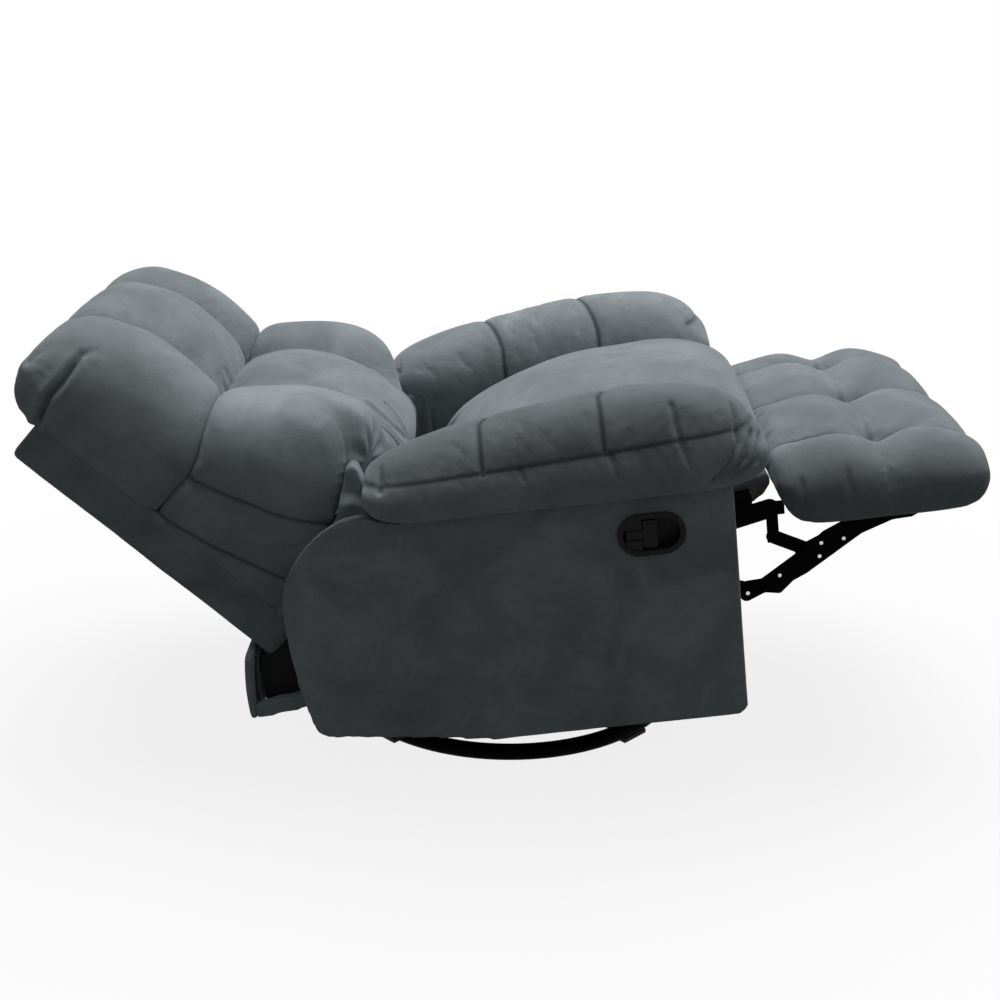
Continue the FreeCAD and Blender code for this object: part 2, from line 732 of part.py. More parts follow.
def arm_section(x, inner, outer, low, crest):
    """A pillow outline across the arm: flat under, drawn-in sides and a crown."""
    rise = crest - low
    waist = low + 0.38 * rise
    brow = low + 0.72 * rise
    under = 0.07 * ARM_PAD_WIDTH
    over = 0.10 * ARM_PAD_WIDTH
    a = V(x, inner + under, low)
    b = V(x, outer - under, low)
    c = V(x, outer - over, brow)
    d = V(x, inner + over, brow)
    return Part.Wire([
        Part.makeLine(a, b),
        arc(b, V(x, outer, waist), c),
        arc(c, V(x, ARM_CREST_Y, crest), d),
        arc(d, V(x, inner, waist), a),
    ])


def arm_pad():
    """Stations: share of the length, inner and outer tuck, lift of the underside and height of the crest."""
    low = PANEL_TOP + SOFT_GAP
    wide = ARM_PAD_WIDTH
    high = ARM_PAD_HEIGHT
    stations = [
        (0.000, 0.180, 0.190, 0.210, 0.400),
        (0.021, 0.097, 0.097, 0.085, 0.485),
        (0.085, 0.041, 0.026, 0.012, 0.605),
        (0.243, 0.010, 0.005, 0.006, 0.766),
        (0.422, 0.005, 0.000, 0.006, 0.875),
        (0.617, 0.000, 0.000, 0.006, 0.955),
        (0.781, 0.000, 0.005, 0.006, 0.945),
        (0.895, 0.010, 0.015, 0.018, 0.845),
        (0.961, 0.051, 0.056, 0.070, 0.655),
        (1.000, 0.158, 0.168, 0.170, 0.405),
    ]
    wires = []
    for along, tuck_in, tuck_out, lift, crest in stations:
        x = ARM_PAD_REAR_X + along * ARM_PAD_LENGTH
        inner = ARM_PAD_INNER_Y + tuck_in * wide
        outer = ARM_PAD_INNER_Y + (1 - tuck_out) * wide
        wires.append(arm_section(x, inner, outer, low + lift * high, low + crest * high))
    return loft(wires)


def rear_panel():
    y = REAR_PANEL_HALF
    x1 = REAR_PANEL_BACK_X + REAR_PANEL_THICK
    corners = [
        (-y, REAR_PANEL_BOTTOM, 10),
        (y, REAR_PANEL_BOTTOM, 10),
        (y, REAR_PANEL_TOP, 10),
        (-y, REAR_PANEL_TOP, 10),
    ]
    wire = rounded_wire(corners, lambda a, b: V(REAR_PANEL_BACK_X, a, b))
    return Part.Face(wire).extrude(V(x1 - REAR_PANEL_BACK_X, 0, 0))


def rear_side_rails():
    x0 = REAR_PANEL_BACK_X + REAR_PANEL_THICK
    low = REAR_PANEL_BOTTOM + 2
    outline = [
        (x0, low, 0),
        (LOW_RAIL_REAR_X, low + SIDE_RETURN_RISE, 0),
        (LOW_RAIL_REAR_X, low + SIDE_RETURN_RISE + SIDE_RETURN_HEIGHT, 0),
        (x0, low + SIDE_RETURN_HEIGHT, 0),
    ]
    y0 = SIDE_RETURN_INNER_Y
    return both_sides(side_plate(outline, y0, y0 + SIDE_RETURN_THICK))


def dust_cover():
    x0 = REAR_PANEL_BACK_X + REAR_PANEL_THICK
    y = LOW_RAIL_INNER_Y - SOFT_GAP
    top = DUST_COVER_Z + DUST_COVER_THICK
    return box(x0, CAM_REAR_X - SOFT_GAP, -y, y, DUST_COVER_Z, top)


def guide_plate():
    y0 = POST_INNER_Y - GUIDE_THICK
    y1 = POST_INNER_Y
    outline = [
        (POST_FRONT_X - 8, FRONT_ROLLER[1] - GUIDE_BELOW, 10),
        (POST_FRONT_X - 8, FRONT_ROLLER[1] + GUIDE_ABOVE, 10),
        (FRONT_ROLLER[0] - GUIDE_TAIL, FRONT_ROLLER[1] + GUIDE_ABOVE, GUIDE_ABOVE),
        (REAR_ROLLER[0] + GUIDE_TAIL / 2, REAR_ROLLER[1] + 1.2 * GUIDE_ABOVE, GUIDE_ABOVE),
        (REAR_POST_REAR_X, REAR_ROLLER[1] + 0.7 * GUIDE_ABOVE, 10),
        (REAR_POST_REAR_X, REAR_ROLLER[1] - GUIDE_TAIL, 10),
        (REAR_ROLLER[0] - 0.75 * GUIDE_TAIL, REAR_ROLLER[1] - GUIDE_TAIL, GUIDE_ABOVE),
    ]
    plate = side_plate(outline, y0, y1)
    for roller in (FRONT_ROLLER, REAR_ROLLER):
        end = (roller[0] + SLIDE_STEP[0], roller[1] + SLIDE_STEP[1])
        plate = plate.cut(strip(roller, end, 2 * (ROLLER_RADIUS + RUNNING_FIT), y0, y1))
    return plate


def pivot_bracket():
    y0 = PIVOT_BRACKET_Y
    y1 = REAR_POST_INNER_Y
    px, pz = BACK_PIVOT
    outline = [
        (REAR_POST_REAR_X + 4, REAR_POST_TOP - 80, 8),
        (REAR_POST_REAR_X + REAR_POST_WIDTH, REAR_POST_TOP - 80, 8),
        (px + 21, pz - 20, 14),
        (px + 21, pz + 21, 20),
        (px - 21, pz + 21, 14),
        (REAR_POST_REAR_X + 4, REAR_POST_TOP - 14, 14),
    ]
    pin = pin_y(BACK_PIVOT, PIVOT_PIN_RADIUS, STILE_OUTER_Y - 1, y0)
    return side_plate(outline, y0, y1).fuse(pin)


# Release handle

def stadium(x, z, length, height, y0, y1):
    half = (length - height) / 2
    return strip((x - half, z), (x + half, z), height, y0, y1)


def cup_hole():
    """The panel's cut-out for the handle cup."""
    length = CUP_LENGTH + 2 * (CUP_WALL + CUP_FIT)
    height = CUP_HEIGHT + 2 * (CUP_WALL + CUP_FIT)
    return stadium(BEZEL_X, BEZEL_Z, length, height, -PANEL_OUTER_Y, -PANEL_INNER_Y)


def handle_bezel():
    face = -PANEL_OUTER_Y
    front = face - BEZEL_PROUD
    floor = face + CUP_DEPTH
    flange = stadium(BEZEL_X, BEZEL_Z, BEZEL_LENGTH, BEZEL_HEIGHT, front, face)
    cup = stadium(BEZEL_X, BEZEL_Z, CUP_LENGTH + 2 * CUP_WALL, CUP_HEIGHT + 2 * CUP_WALL, face, floor)
    hollow = stadium(BEZEL_X, BEZEL_Z, CUP_LENGTH, CUP_HEIGHT, front, floor - CUP_WALL)
    body = flange.fuse(cup).removeSplitter().cut(hollow)
    reach = CUP_HEIGHT / 2 + CUP_WALL / 2
    spot = V(HANDLE_PIN_X, front + HANDLE_PIN_IN, BEZEL_Z - reach)
    pin = Part.makeCylinder(HANDLE_PIN_RADIUS, 2 * reach, spot, ALONG_Z)
    return body.fuse(pin.common(cup.fuse(flange)))


def release_handle():
    front = -PANEL_OUTER_Y - BEZEL_PROUD
    axis_y = front + HANDLE_PIN_IN
    y0 = axis_y - HANDLE_THICK / 2
    y1 = axis_y + HANDLE_THICK / 2
    g = HANDLE_GRIP_HEIGHT / 2
    s = HANDLE_STEM_HEIGHT / 2
    x1 = HANDLE_GRIP_X + HANDLE_GRIP_LENGTH
    grip = side_plate(
        [
            (HANDLE_GRIP_X, BEZEL_Z - g, 5),
            (x1, BEZEL_Z - g, 5),
            (x1, BEZEL_Z + g, 5),
            (HANDLE_GRIP_X, BEZEL_Z + g, 5),
        ],
        y0,
        y1,
    )
    stem = box(HANDLE_PIN_X, HANDLE_GRIP_X + 4, y0, y1, BEZEL_Z - s, BEZEL_Z + s)
    h = HANDLE_BARREL_HALF
    barrel = Part.makeCylinder(HANDLE_BARREL_RADIUS, 2 * h, V(HANDLE_PIN_X, axis_y, BEZEL_Z - h), ALONG_Z)
    bore = Part.makeCylinder(
        HANDLE_PIN_RADIUS + RUNNING_FIT, 2 * h, V(HANDLE_PIN_X, axis_y, BEZEL_Z - h), ALONG_Z
    )
    return grip.fuse(stem).fuse(barrel).removeSplitter().cut(bore)


# Seat

def seat_plate():
    y0 = SEAT_PLATE_INNER_Y
    y1 = y0 + SEAT_PLATE_THICK
    t = 2.0
    front = DECK_FRONT_U * math.cos(math.radians(DECK_PITCH))
    rear = DECK_REAR_U * math.cos(math.radians(DECK_PITCH))
    dx, dz = DRIVE_PIVOT
    rx, rz = REAR_PIVOT
    outline = [
        (front, deck_z(front) - t, 2),
        (rear, deck_z(rear) - t, 2),
        (rear, REAR_ROLLER[1] - 24, 12),
        (REAR_ROLLER[0] + 40, REAR_ROLLER[1] - 24, 30),
        (rx - 40, rz - 26, 20),
        (rx + 26, rz - 26, 20),
        (dx - 20, dz - 36, 20),
        (dx + 30, dz - 26, 20),
        (front, deck_z(front) - 34, 10),
    ]
    flange = deck_box(DECK_REAR_U, DECK_FRONT_U, SEAT_RAIL_INNER_Y, y1, -SEAT_PLATE_THICK, 0)
    plate = side_plate(outline, y0, y1).fuse(flange).removeSplitter()
    plate = plate.cut(pin_y(DRIVE_PIVOT, DRIVE_TUBE_RADIUS + RUNNING_FIT, y0, y1))
    stud = pin_y(REAR_PIVOT, STUD_RADIUS, LAYER_A - SOFT_GAP, y0)
    head = pin_y(REAR_PIVOT, STUD_HEAD_RADIUS, LAYER_A - SOFT_GAP - STUD_HEAD, LAYER_A - SOFT_GAP)
    return plate.fuse(stud.fuse(head))


def seat_rollers():
    y0 = SEAT_PLATE_INNER_Y + SEAT_PLATE_THICK
    y1 = POST_INNER_Y + SOFT_GAP
    rollers = []
    for spot in (FRONT_ROLLER, REAR_ROLLER):
        roller = pin_y(spot, ROLLER_RADIUS, y0, y1).fuse(pin_y(spot, ROLLER_HEAD_RADIUS, y1, y1 + ROLLER_HEAD))
        rollers += [roller, other_side(roller)]
    return Part.makeCompound(rollers)


def seat_side_rails():
    top = -SEAT_PLATE_THICK
    y1 = SEAT_RAIL_INNER_Y + SEAT_RAIL_WIDTH
    rail = deck_box(DECK_REAR_U, DECK_FRONT_U, SEAT_RAIL_INNER_Y, y1, top - SEAT_RAIL_HEIGHT, top)
    return both_sides(rail.cut(pin_y(DRIVE_PIVOT, DRIVE_TUBE_RADIUS + 3, SEAT_RAIL_INNER_Y, y1)))


def seat_cross_rails():
    y = SEAT_RAIL_INNER_Y
    top = -SEAT_PLATE_THICK
    low = top - SEAT_RAIL_HEIGHT
    front = deck_box(DECK_FRONT_U - SEAT_CROSS_WIDTH, DECK_FRONT_U, -y, y, low, top)
    rear = deck_box(DECK_REAR_U, DECK_REAR_U + SEAT_CROSS_WIDTH, -y, y, low, top)
    return Part.makeCompound([front, rear])


def seat_springs():
    z = DECK_Z - SEAT_PLATE_THICK + SPRING_WIRE
    u0 = DECK_REAR_U + SEAT_CROSS_WIDTH / 2
    length = DECK_FRONT_U - DECK_REAR_U - SEAT_CROSS_WIDTH
    pitch = 2 * SEAT_RAIL_INNER_Y / SEAT_SPRING_COUNT
    springs = []
    for i in range(SEAT_SPRING_COUNT):
        y = -SEAT_RAIL_INNER_Y + pitch * (i + 0.5)
        flat = zigzag(
            length, SEAT_SPRING_HALF, SEAT_SPRING_BAYS, SPRING_WIRE, lambda u, v: V(u0 + u, y + v, z)
        )
        springs.append(tilted(flat, -DECK_PITCH, 0, DECK_Z))
    return Part.makeCompound(springs)


def seat_section(x, half, low, edge, crown):
    waist = (low + edge) / 2
    a = V(x, -half + 8, low)
    b = V(x, half - 8, low)
    c = V(x, half - 10, edge)
    d = V(x, 10 - half, edge)
    return Part.Wire([
        Part.makeLine(a, b),
        arc(b, V(x, half, waist), c),
        arc(c, V(x, 0, crown), d),
        arc(d, V(x, -half, waist), a),
    ])


def seat_cushion():
    """Stations: share of the length, side tuck, lift of the underside, and falls of the edge and crown."""
    stations = [
        (0.000, 0.091, 0.000, 1.016, 1.000),
        (0.028, 0.053, 0.000, 0.960, 0.929),
        (0.083, 0.030, 0.000, 0.874, 0.810),
        (0.139, 0.019, 0.000, 0.597, 0.502),
        (0.173, 0.015, 0.000, 0.494, 0.376),
        (0.244, 0.011, 0.000, 0.395, 0.257),
        (0.398, 0.004, 0.000, 0.273, 0.115),
        (0.583, 0.000, 0.000, 0.186, 0.020),
        (0.769, 0.000, 0.000, 0.162, 0.000),
        (0.892, 0.008, 0.000, 0.185, 0.045),
        (0.963, 0.030, 0.060, 0.290, 0.150),
        (1.000, 0.106, 0.215, 0.420, 0.310),
    ]
    wires = []
    for along, tuck, lift, edge, crown in stations:
        x = SEAT_REAR_X + along * SEAT_LENGTH
        low = deck_z(x) + lift * SEAT_DROP
        top = SEAT_TOP - edge * SEAT_DROP
        wires.append(seat_section(x, SEAT_HALF * (1 - tuck), low, top, SEAT_TOP - crown * SEAT_DROP))
    under = deck_box(-SEAT_LENGTH, SEAT_LENGTH, -SEAT_HALF, SEAT_HALF, -SEAT_DROP, SOFT_GAP)
    return loft(wires).cut(under)


# Footrest linkage

def stud(point, face, link_face):
    """A shoulder rivet on a link's outer face, headed past the link that it carries."""
    out = link_face + SOFT_GAP
    neck = pin_y(point, STUD_RADIUS, face, out)
    return neck.fuse(pin_y(point, STUD_HEAD_RADIUS, out, out + STUD_HEAD))


def front_link():
    y0 = LAYER_A
    y1 = FACE_A
    half = KNEE_WIDTH / 2
    plate_x1 = KNEE_PLATE_REAR_X + KNEE_PLATE_WIDTH
    plate_low = KNEE_TOP_Z - KNEE_PLATE_HEIGHT
    plate_middle = (KNEE_PLATE_REAR_X + KNEE_PLATE_WIDTH / 2, KNEE_TOP_Z - KNEE_PLATE_HEIGHT / 2)
    toe = (KNEE_X, KNEE_LOW_Z + half)
    link = strip(DRIVE_PIVOT, plate_middle, LINK_WIDTH + 4, y0, y1)
    link = link.fuse(box(KNEE_PLATE_REAR_X, plate_x1, y0, y1, plate_low, KNEE_TOP_Z))
    link = link.fuse(box(KNEE_X - half, KNEE_X + half, y0, y1, KNEE_LOW_Z, plate_low))
    link = link.fuse(strip(toe, FRONT_PIVOT, TOE_WIDTH, y0, y1)).removeSplitter()
    link = link.cut(pin_y(DRIVE_PIVOT, DRIVE_TUBE_RADIUS, y0, y1))
    link = link.fuse(stud(FRONT_PIVOT, y1, FACE_C))
    return link.fuse(pin_y(CRANK_TIP, STUD_RADIUS, y1, FACE_U))


def drive_tube():
    y = DRIVE_TUBE_HALF
    tube = pin_y(DRIVE_PIVOT, DRIVE_TUBE_RADIUS, -y, y)
    return tube.cut(pin_y(DRIVE_PIVOT, DRIVE_TUBE_RADIUS - DRIVE_TUBE_WALL, -y, y))


def rear_link():
    link = strip(REAR_PIVOT, LONG_REAR_PIVOT, LINK_WIDTH, LAYER_A, FACE_A)
    link = link.cut(pin_y(REAR_PIVOT, STUD_RADIUS + RUNNING_FIT, LAYER_A, FACE_A))
    return link.fuse(stud(LONG_REAR_PIVOT, FACE_A, FACE_C))


def along_long_link(along, across):
    """A place from the front pivot, along the long link and square to it."""
    return away(away(FRONT_PIVOT, along, LONG_LINK_ANGLE), across, LONG_LINK_ANGLE + 90)


def long_link():
    half = LINK_WIDTH / 2
    rear = -LONG_LINK_REAR
    front = LONG_LINK_FRONT
    outline = [
        (rear - half, half, 12),
        (rear + 0.5 * half, 1.35 * half, 8),
        (rear + 2.2 * half, 0.7 * half, 12),
        (-half, 1.75 * half, 20),
        (1.8 * half, 2.45 * half, 20),
        (5.2 * half, 2.5 * half, 20),
        (front - 1.2 * half, 1.6 * half, 14),
        (front + half, 0.8 * half, 12),
        (front + half, -half, 12),
        (front - 1.6 * half, -0.2 * half, 10),
        (5.5 * half, 0.05 * half, 20),
        (-2.2 * half, -1.25 * half, 12),
        (-4.0 * half, -1.3 * half, 8),
        (rear + 3.3 * half, -2.0 * half, 8),
        (rear + 1.8 * half, -half, 10),
        (rear - half, -half, 12),
    ]
    rivets = [(0.9 * half, 1.37 * half), (3.4 * half, 0.57 * half), (-5.1 * half, 0.14 * half)]
    corners = [along_long_link(u, v) + (r,) for u, v, r in outline]
    link = side_plate(corners, LAYER_C, FACE_C)
    link = link.cut(pin_y(FRONT_PIVOT, STUD_RADIUS + RUNNING_FIT, LAYER_C, FACE_C))
    link = link.cut(pin_y(LONG_REAR_PIVOT, STUD_RADIUS + OPEN_FIT, LAYER_C, FACE_C))
    inner = LAYER_A - SOFT_GAP
    neck = pin_y(LONG_FRONT_PIVOT, STUD_RADIUS, inner, LAYER_C)
    head = pin_y(LONG_FRONT_PIVOT, STUD_HEAD_RADIUS, inner - STUD_HEAD, inner)
    cap = pin_y(LONG_FRONT_PIVOT, STUD_HEAD_RADIUS, FACE_C, FACE_C + STUD_HEAD)
    link = link.fuse(neck.fuse(head)).fuse(cap)
    for u, v in rivets:
        link = link.fuse(pin_y(along_long_link(u, v), RIVET_RADIUS, FACE_C, FACE_C + RIVET_HEIGHT))
    return link


def lower_link():
    link = strip(CRANK_TIP, LOWER_FRONT_PIVOT, LOWER_LINK_WIDTH, LAYER_U, FACE_U)
    link = link.cut(pin_y(CRANK_TIP, STUD_RADIUS + RUNNING_FIT, LAYER_U, FACE_U))
    return link.cut(pin_y(LOWER_FRONT_PIVOT, STUD_RADIUS + OPEN_FIT, LAYER_U, FACE_U))


def footrest_bracket():
    y0 = LAYER_A
    y1 = FACE_A
    cx, cz = LONG_FRONT_PIVOT
    qx, qz = LOWER_FRONT_PIVOT
    top = BOARD_BOTTOM
    reach = BRACKET_REACH
    edge = 3 * BRACKET_FLANGE_THICK
    outline = [
        (qx - reach, top, 2),
        (qx - reach, top - edge, 6),
        (qx - edge, qz - edge, 10),
        (cx - edge, cz - 1.3 * edge, 10),
        (cx + 1.4 * edge, cz - 1.2 * edge, 12),
        (cx + reach, top - edge, 8),
        (cx + reach, top, 2),
    ]
    low = top - BRACKET_FLANGE_THICK
    flange = box(qx - reach, cx + reach, y0 - BRACKET_FLANGE, y0, low, top)
    body = side_plate(outline, y0, y1).fuse(flange).removeSplitter()
    body = body.cut(pin_y(LONG_FRONT_PIVOT, STUD_RADIUS + RUNNING_FIT, y0, y1))
    return body.fuse(pin_y(LOWER_FRONT_PIVOT, STUD_RADIUS, y1, FACE_U))


def footrest_board():
    top = BOARD_BOTTOM + BOARD_THICK
    return box(BOARD_REAR_X, BOARD_FRONT_X, -BOARD_HALF, BOARD_HALF, BOARD_BOTTOM, top)


def pad_section(x, half, low, seam, lobe):
    """An outline across the footrest: four puffed columns between sewn seams."""
    brow = low + 0.62 * (seam - low)
    under = 0.027 * PAD_HALF
    over = 0.022 * PAD_HALF
    a = V(x, -half + under, low)
    b = V(x, half - under, low)
    c = V(x, half - over, brow)
    d = V(x, PAD_SEAM_Y, seam)
    e = V(x, 0, seam)
    f = V(x, -PAD_SEAM_Y, seam)
    g = V(x, over - half, brow)
    shoulder = 0.45 * PAD_SEAM_Y + 0.55 * half
    puff = 0.48 * brow + 0.52 * lobe + 0.07 * (PAD_CROWN - BOARD_BOTTOM)
    return Part.Wire([
        Part.makeLine(a, b),
        arc(b, V(x, half, (low + brow) / 2), c),
        arc(c, V(x, shoulder, puff), d),
        arc(d, V(x, PAD_SEAM_Y / 2, lobe), e),
        arc(e, V(x, -PAD_SEAM_Y / 2, lobe), f),
        arc(f, V(x, -shoulder, puff), g),
        arc(g, V(x, -half, (low + brow) / 2), a),
    ])


def footrest_pad():
    """Stations: share of the length, side tuck, lift of the underside, and falls of the seams and lobes."""
    low = BOARD_BOTTOM + BOARD_THICK + SOFT_GAP
    rise = PAD_CROWN - low
    stations = [
        (0.000, 0.082, 0.330, 0.384, 0.317),
        (0.055, 0.027, 0.117, 0.251, 0.134),
        (0.210, 0.005, 0.000, 0.180, 0.017),
        (0.380, 0.000, 0.000, 0.190, 0.008),
        (0.514, 0.005, 0.000, 0.300, 0.190),
        (0.650, 0.000, 0.000, 0.230, 0.033),
        (0.815, 0.008, 0.000, 0.284, 0.090),
        (0.940, 0.034, 0.060, 0.430, 0.310),
        (1.000, 0.092, 0.200, 0.585, 0.500),
    ]
    wires = []
    for along, tuck, lift, seam, lobe in stations:
        x = PAD_REAR_X + along * PAD_LENGTH
        half = PAD_HALF * (1 - tuck)
        wires.append(pad_section(x, half, low + lift * rise, PAD_CROWN - seam * rise, PAD_CROWN - lobe * rise))
    under = box(PAD_REAR_X - rise, PAD_REAR_X + 2 * PAD_LENGTH, -PAD_HALF, PAD_HALF, BOARD_BOTTOM, low)
    return loft(wires).cut(under)


# Back

def back_shell():
    h = SHELL_HALF
    w = SHELL_WALL
    c = SHELL_CORNER
    outer = [(-h, 0, 10), (h, 0, 10), (h, SHELL_HEIGHT, c), (-h, SHELL_HEIGHT, c)]
    g = h - w
    top = SHELL_HEIGHT - w
    inner = [(-g, w, 5), (g, w, 5), (g, top, c - w), (-g, top, c - w)]
    solid = Part.Face(rounded_wire(outer, lambda a, b: V(0, a, b))).extrude(V(SHELL_DEPTH, 0, 0))
    hollow = Part.Face(rounded_wire(inner, lambda a, b: V(w, a, b))).extrude(V(SHELL_DEPTH, 0, 0))
    return lay_back(solid.cut(hollow))


def back_frame():
    n0 = SHELL_WALL
    n1 = n0 + BACK_FRAME_DEPTH
    s0 = SHELL_WALL + 4
    s1 = SHELL_HEIGHT - SHELL_CORNER
    y1 = STILE_OUTER_Y
    y0 = y1 - STILE_WIDTH
    stile = box(n0, n1, y0, y1, s0, s1)
    mid = (s0 + s1) / 2
    half = BACK_RAIL_HEIGHT / 2
    rails = [
        box(n0, n1, -y0, y0, s0, s0 + BACK_RAIL_HEIGHT),
        box(n0, n1 - 4 * SPRING_WIRE, -y0, y0, mid - half, mid + half),
        box(n0, n1, -y0, y0, s1 - BACK_RAIL_HEIGHT, s1),
    ]
    return lay_back(Part.makeCompound([stile, other_side(stile)] + rails))


def back_springs():
    n = SHELL_WALL + BACK_FRAME_DEPTH + SPRING_WIRE
    s0 = SHELL_WALL + 4 + BACK_RAIL_HEIGHT / 2
    length = SHELL_HEIGHT - SHELL_CORNER - BACK_RAIL_HEIGHT / 2 - s0
    wide = 2 * (STILE_OUTER_Y - STILE_WIDTH)
    pitch = wide / BACK_SPRING_COUNT
    springs = []
    for i in range(BACK_SPRING_COUNT):
        y = -wide / 2 + pitch * (i + 0.5)
        springs.append(zigzag(
            length, BACK_SPRING_HALF, BACK_SPRING_BAYS, SPRING_WIRE, lambda u, v: V(n, y + v, s0 + u)
        ))
    return lay_back(Part.makeCompound(springs))


def hinge_plate():
    y0 = STILE_OUTER_Y
    y1 = y0 + HINGE_PLATE_THICK
    pivot = back_local(BACK_PIVOT)
    foot_low = SHELL_WALL + 12
    n0 = SHELL_WALL + 3
    n1 = SHELL_WALL + BACK_FRAME_DEPTH - 2
    root = ((n0 + n1) / 2, foot_low + HINGE_FOOT_HEIGHT / 2)
    foot = box(n0, n1, y0, y1, foot_low, foot_low + HINGE_FOOT_HEIGHT)
    arm = strip(root, pivot, HINGE_PLATE_WIDTH, y0, y1)
    plate = foot.fuse(arm.cut(box(n0 - SHELL_HEIGHT, n0, y0, y1, -SHELL_HEIGHT, SHELL_HEIGHT))).removeSplitter()
    return lay_back(plate.cut(pin_y(pivot, PIVOT_PIN_RADIUS + RUNNING_FIT, y0, y1)))


def back_section(s, half, back, side, wing, seam, crown):
    """An outline across the back: a tall middle channel between two wings."""
    under = 0.012 * SHELL_HALF
    over = 0.017 * SHELL_HALF
    a = V(back, half - under, s)
    b = V(back, under - half, s)
    c = V(side, over - half, s)
    d = V(seam, -BACK_SEAM_Y, s)
    e = V(seam, BACK_SEAM_Y, s)
    f = V(side, half - over, s)
    shoulder = 0.43 * BACK_SEAM_Y + 0.57 * half
    waist = (back + side) / 2
    return Part.Wire([
        Part.makeLine(a, b),
        arc(b, V(waist, -half, s), c),
        arc(c, V(wing, -shoulder, s), d),
        arc(d, V(crown, 0, s), e),
        arc(e, V(wing, shoulder, s), f),
        arc(f, V(waist, half, s), a),
    ])


def back_loft(stations, low, high, half):
    """Stations: share of the height, side tuck, then depths of the underside, side, wing, seam and crown."""
    wires = []
    for up, tuck, *depths in stations:
        levels = [CUSHION_N + BACK_DEPTH * depth for depth in depths]
        wires.append(back_section(low + up * (high - low), half * (1 - tuck), *levels))
    return lay_back(loft(wires))


def back_cushion_lower():
    stations = [
        (0.016, 0.088, 0.123, 0.365, 0.520, 0.790, 0.860),
        (0.064, 0.023, 0.031, 0.400, 0.640, 0.925, 0.985),
        (0.185, 0.000, 0.000, 0.380, 0.770, 0.985, 1.050),
        (0.397, 0.000, 0.000, 0.360, 0.950, 0.960, 1.035),
        (0.635, 0.000, 0.000, 0.370, 0.950, 0.860, 0.940),
        (0.847, 0.000, 0.000, 0.320, 0.800, 0.680, 0.765),
        (0.942, 0.006, 0.000, 0.280, 0.700, 0.560, 0.645),
        (1.000, 0.029, 0.000, 0.240, 0.600, 0.490, 0.560),
    ]
    return back_loft(stations, 0.0, BACK_SEAM_S, LOWER_BACK_HALF)


def back_cushion_upper():
    stations = [
        (0.000, 0.039, 0.000, 0.240, 0.600, 0.490, 0.560),
        (0.084, 0.011, 0.000, 0.275, 0.630, 0.540, 0.630),
        (0.306, 0.000, 0.000, 0.290, 0.640, 0.555, 0.675),
        (0.573, 0.000, 0.000, 0.280, 0.600, 0.540, 0.655),
        (0.717, 0.000, 0.000, 0.250, 0.550, 0.495, 0.600),
        (0.855, 0.008, 0.018, 0.220, 0.485, 0.440, 0.535),
        (0.947, 0.033, 0.080, 0.221, 0.400, 0.375, 0.455),
        (1.000, 0.083, 0.160, 0.240, 0.335, 0.330, 0.380),
    ]
    return back_loft(stations, BACK_SEAM_S + SOFT_GAP, ROLL_TOP_S, UPPER_BACK_HALF)


def nodes():
    """Every piece by name, in the body that carries it; the chair's own are still level."""
    panel = side_panel()
    base = {
        "floor_ring": ring_solid(),
        "floor_glides": floor_glides(),
        "base_arms": base_arms(),
        "hub_plate": hub_plate(),
        "lower_race": race(LOWER_RACE_Z),
        "bearing_balls": bearing_balls(),
        "pivot_bolt": pivot_bolt(),
    }
    swivel = {
        "upper_race": race(UPPER_RACE_Z),
        "swivel_plate": swivel_plate(),
        "rocker_base_tubes": rocker_base_tubes(),
        "rocker_rails": rocker_rails(),
        "rocker_springs": rocker_springs(),
    }
    chair = {
        "rocker_cam_left": rocker_cam(),
        "spring_bridges": spring_bridges(),
        "rear_cross_tube": rear_cross_tube(),
        "front_cross_rail": front_cross_rail(),
        "side_panel_left": panel,
        "side_panel_right": other_side(panel).cut(cup_hole()),
        "arm_frame_left": arm_frame(),
        "arm_pad_left": arm_pad(),
        "inner_arm_left": inner_arm(),
        "rear_panel": rear_panel(),
        "rear_side_rails": rear_side_rails(),
        "dust_cover": dust_cover(),
        "guide_plate_left": guide_plate(),
        "back_pivot_brackets": both_sides(pivot_bracket()),
        "handle_bezel": handle_bezel(),
        "release_handle": release_handle(),
        "seat_plate_left": seat_plate(),
        "seat_rollers": seat_rollers(),
        "seat_side_rails": seat_side_rails(),
        "seat_cross_rails": seat_cross_rails(),
        "seat_springs": seat_springs(),
        "seat_cushion": seat_cushion(),
        "front_link_left": front_link(),
        "drive_tube": drive_tube(),
        "rear_link_left": rear_link(),
        "long_link_left": long_link(),
        "lower_link_left": lower_link(),
        "footrest_bracket_left": footrest_bracket(),
        "footrest_board": footrest_board(),
        "footrest_pad": footrest_pad(),
        "back_shell": back_shell(),
        "back_frame": back_frame(),
        "back_springs": back_springs(),
        "back_hinge_plates": both_sides(hinge_plate()),
        "back_cushion_lower": back_cushion_lower(),
        "back_cushion_upper": back_cushion_upper(),
    }
    for name in list(chair):
        if name.endswith("_left") and name != "side_panel_left":
            chair[name[:-4] + "right"] = other_side(chair[name])
    placed = dict(base)
    placed.update(swivel)
    for name in chair:
        placed[name] = tilted(chair[name], -REST_ROCK, 0, ROCK_AXIS_Z)
    return placed


def middle_x(shapes):
    whole = Part.makeCompound(list(shapes.values())).optimalBoundingBox(False, False)
    return (whole.XMin + whole.XMax) / 2


def main():
    os.makedirs("parts", exist_ok=True)
    shapes = nodes()
    shift = -middle_x(shapes)
    print("shift to the middle", round(shift, 4))
    for name in sorted(shapes):
        shape = shapes[name].copy()
        shape.translate(V(shift, 0, 0))
        if not shape.isValid():
            print("not valid", name)
        shape.exportStep("parts/" + name + ".step")


if __name__ == "__main__":
    main()
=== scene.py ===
import math

import bpy
import bmesh
import numpy as np
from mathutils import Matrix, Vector, noise


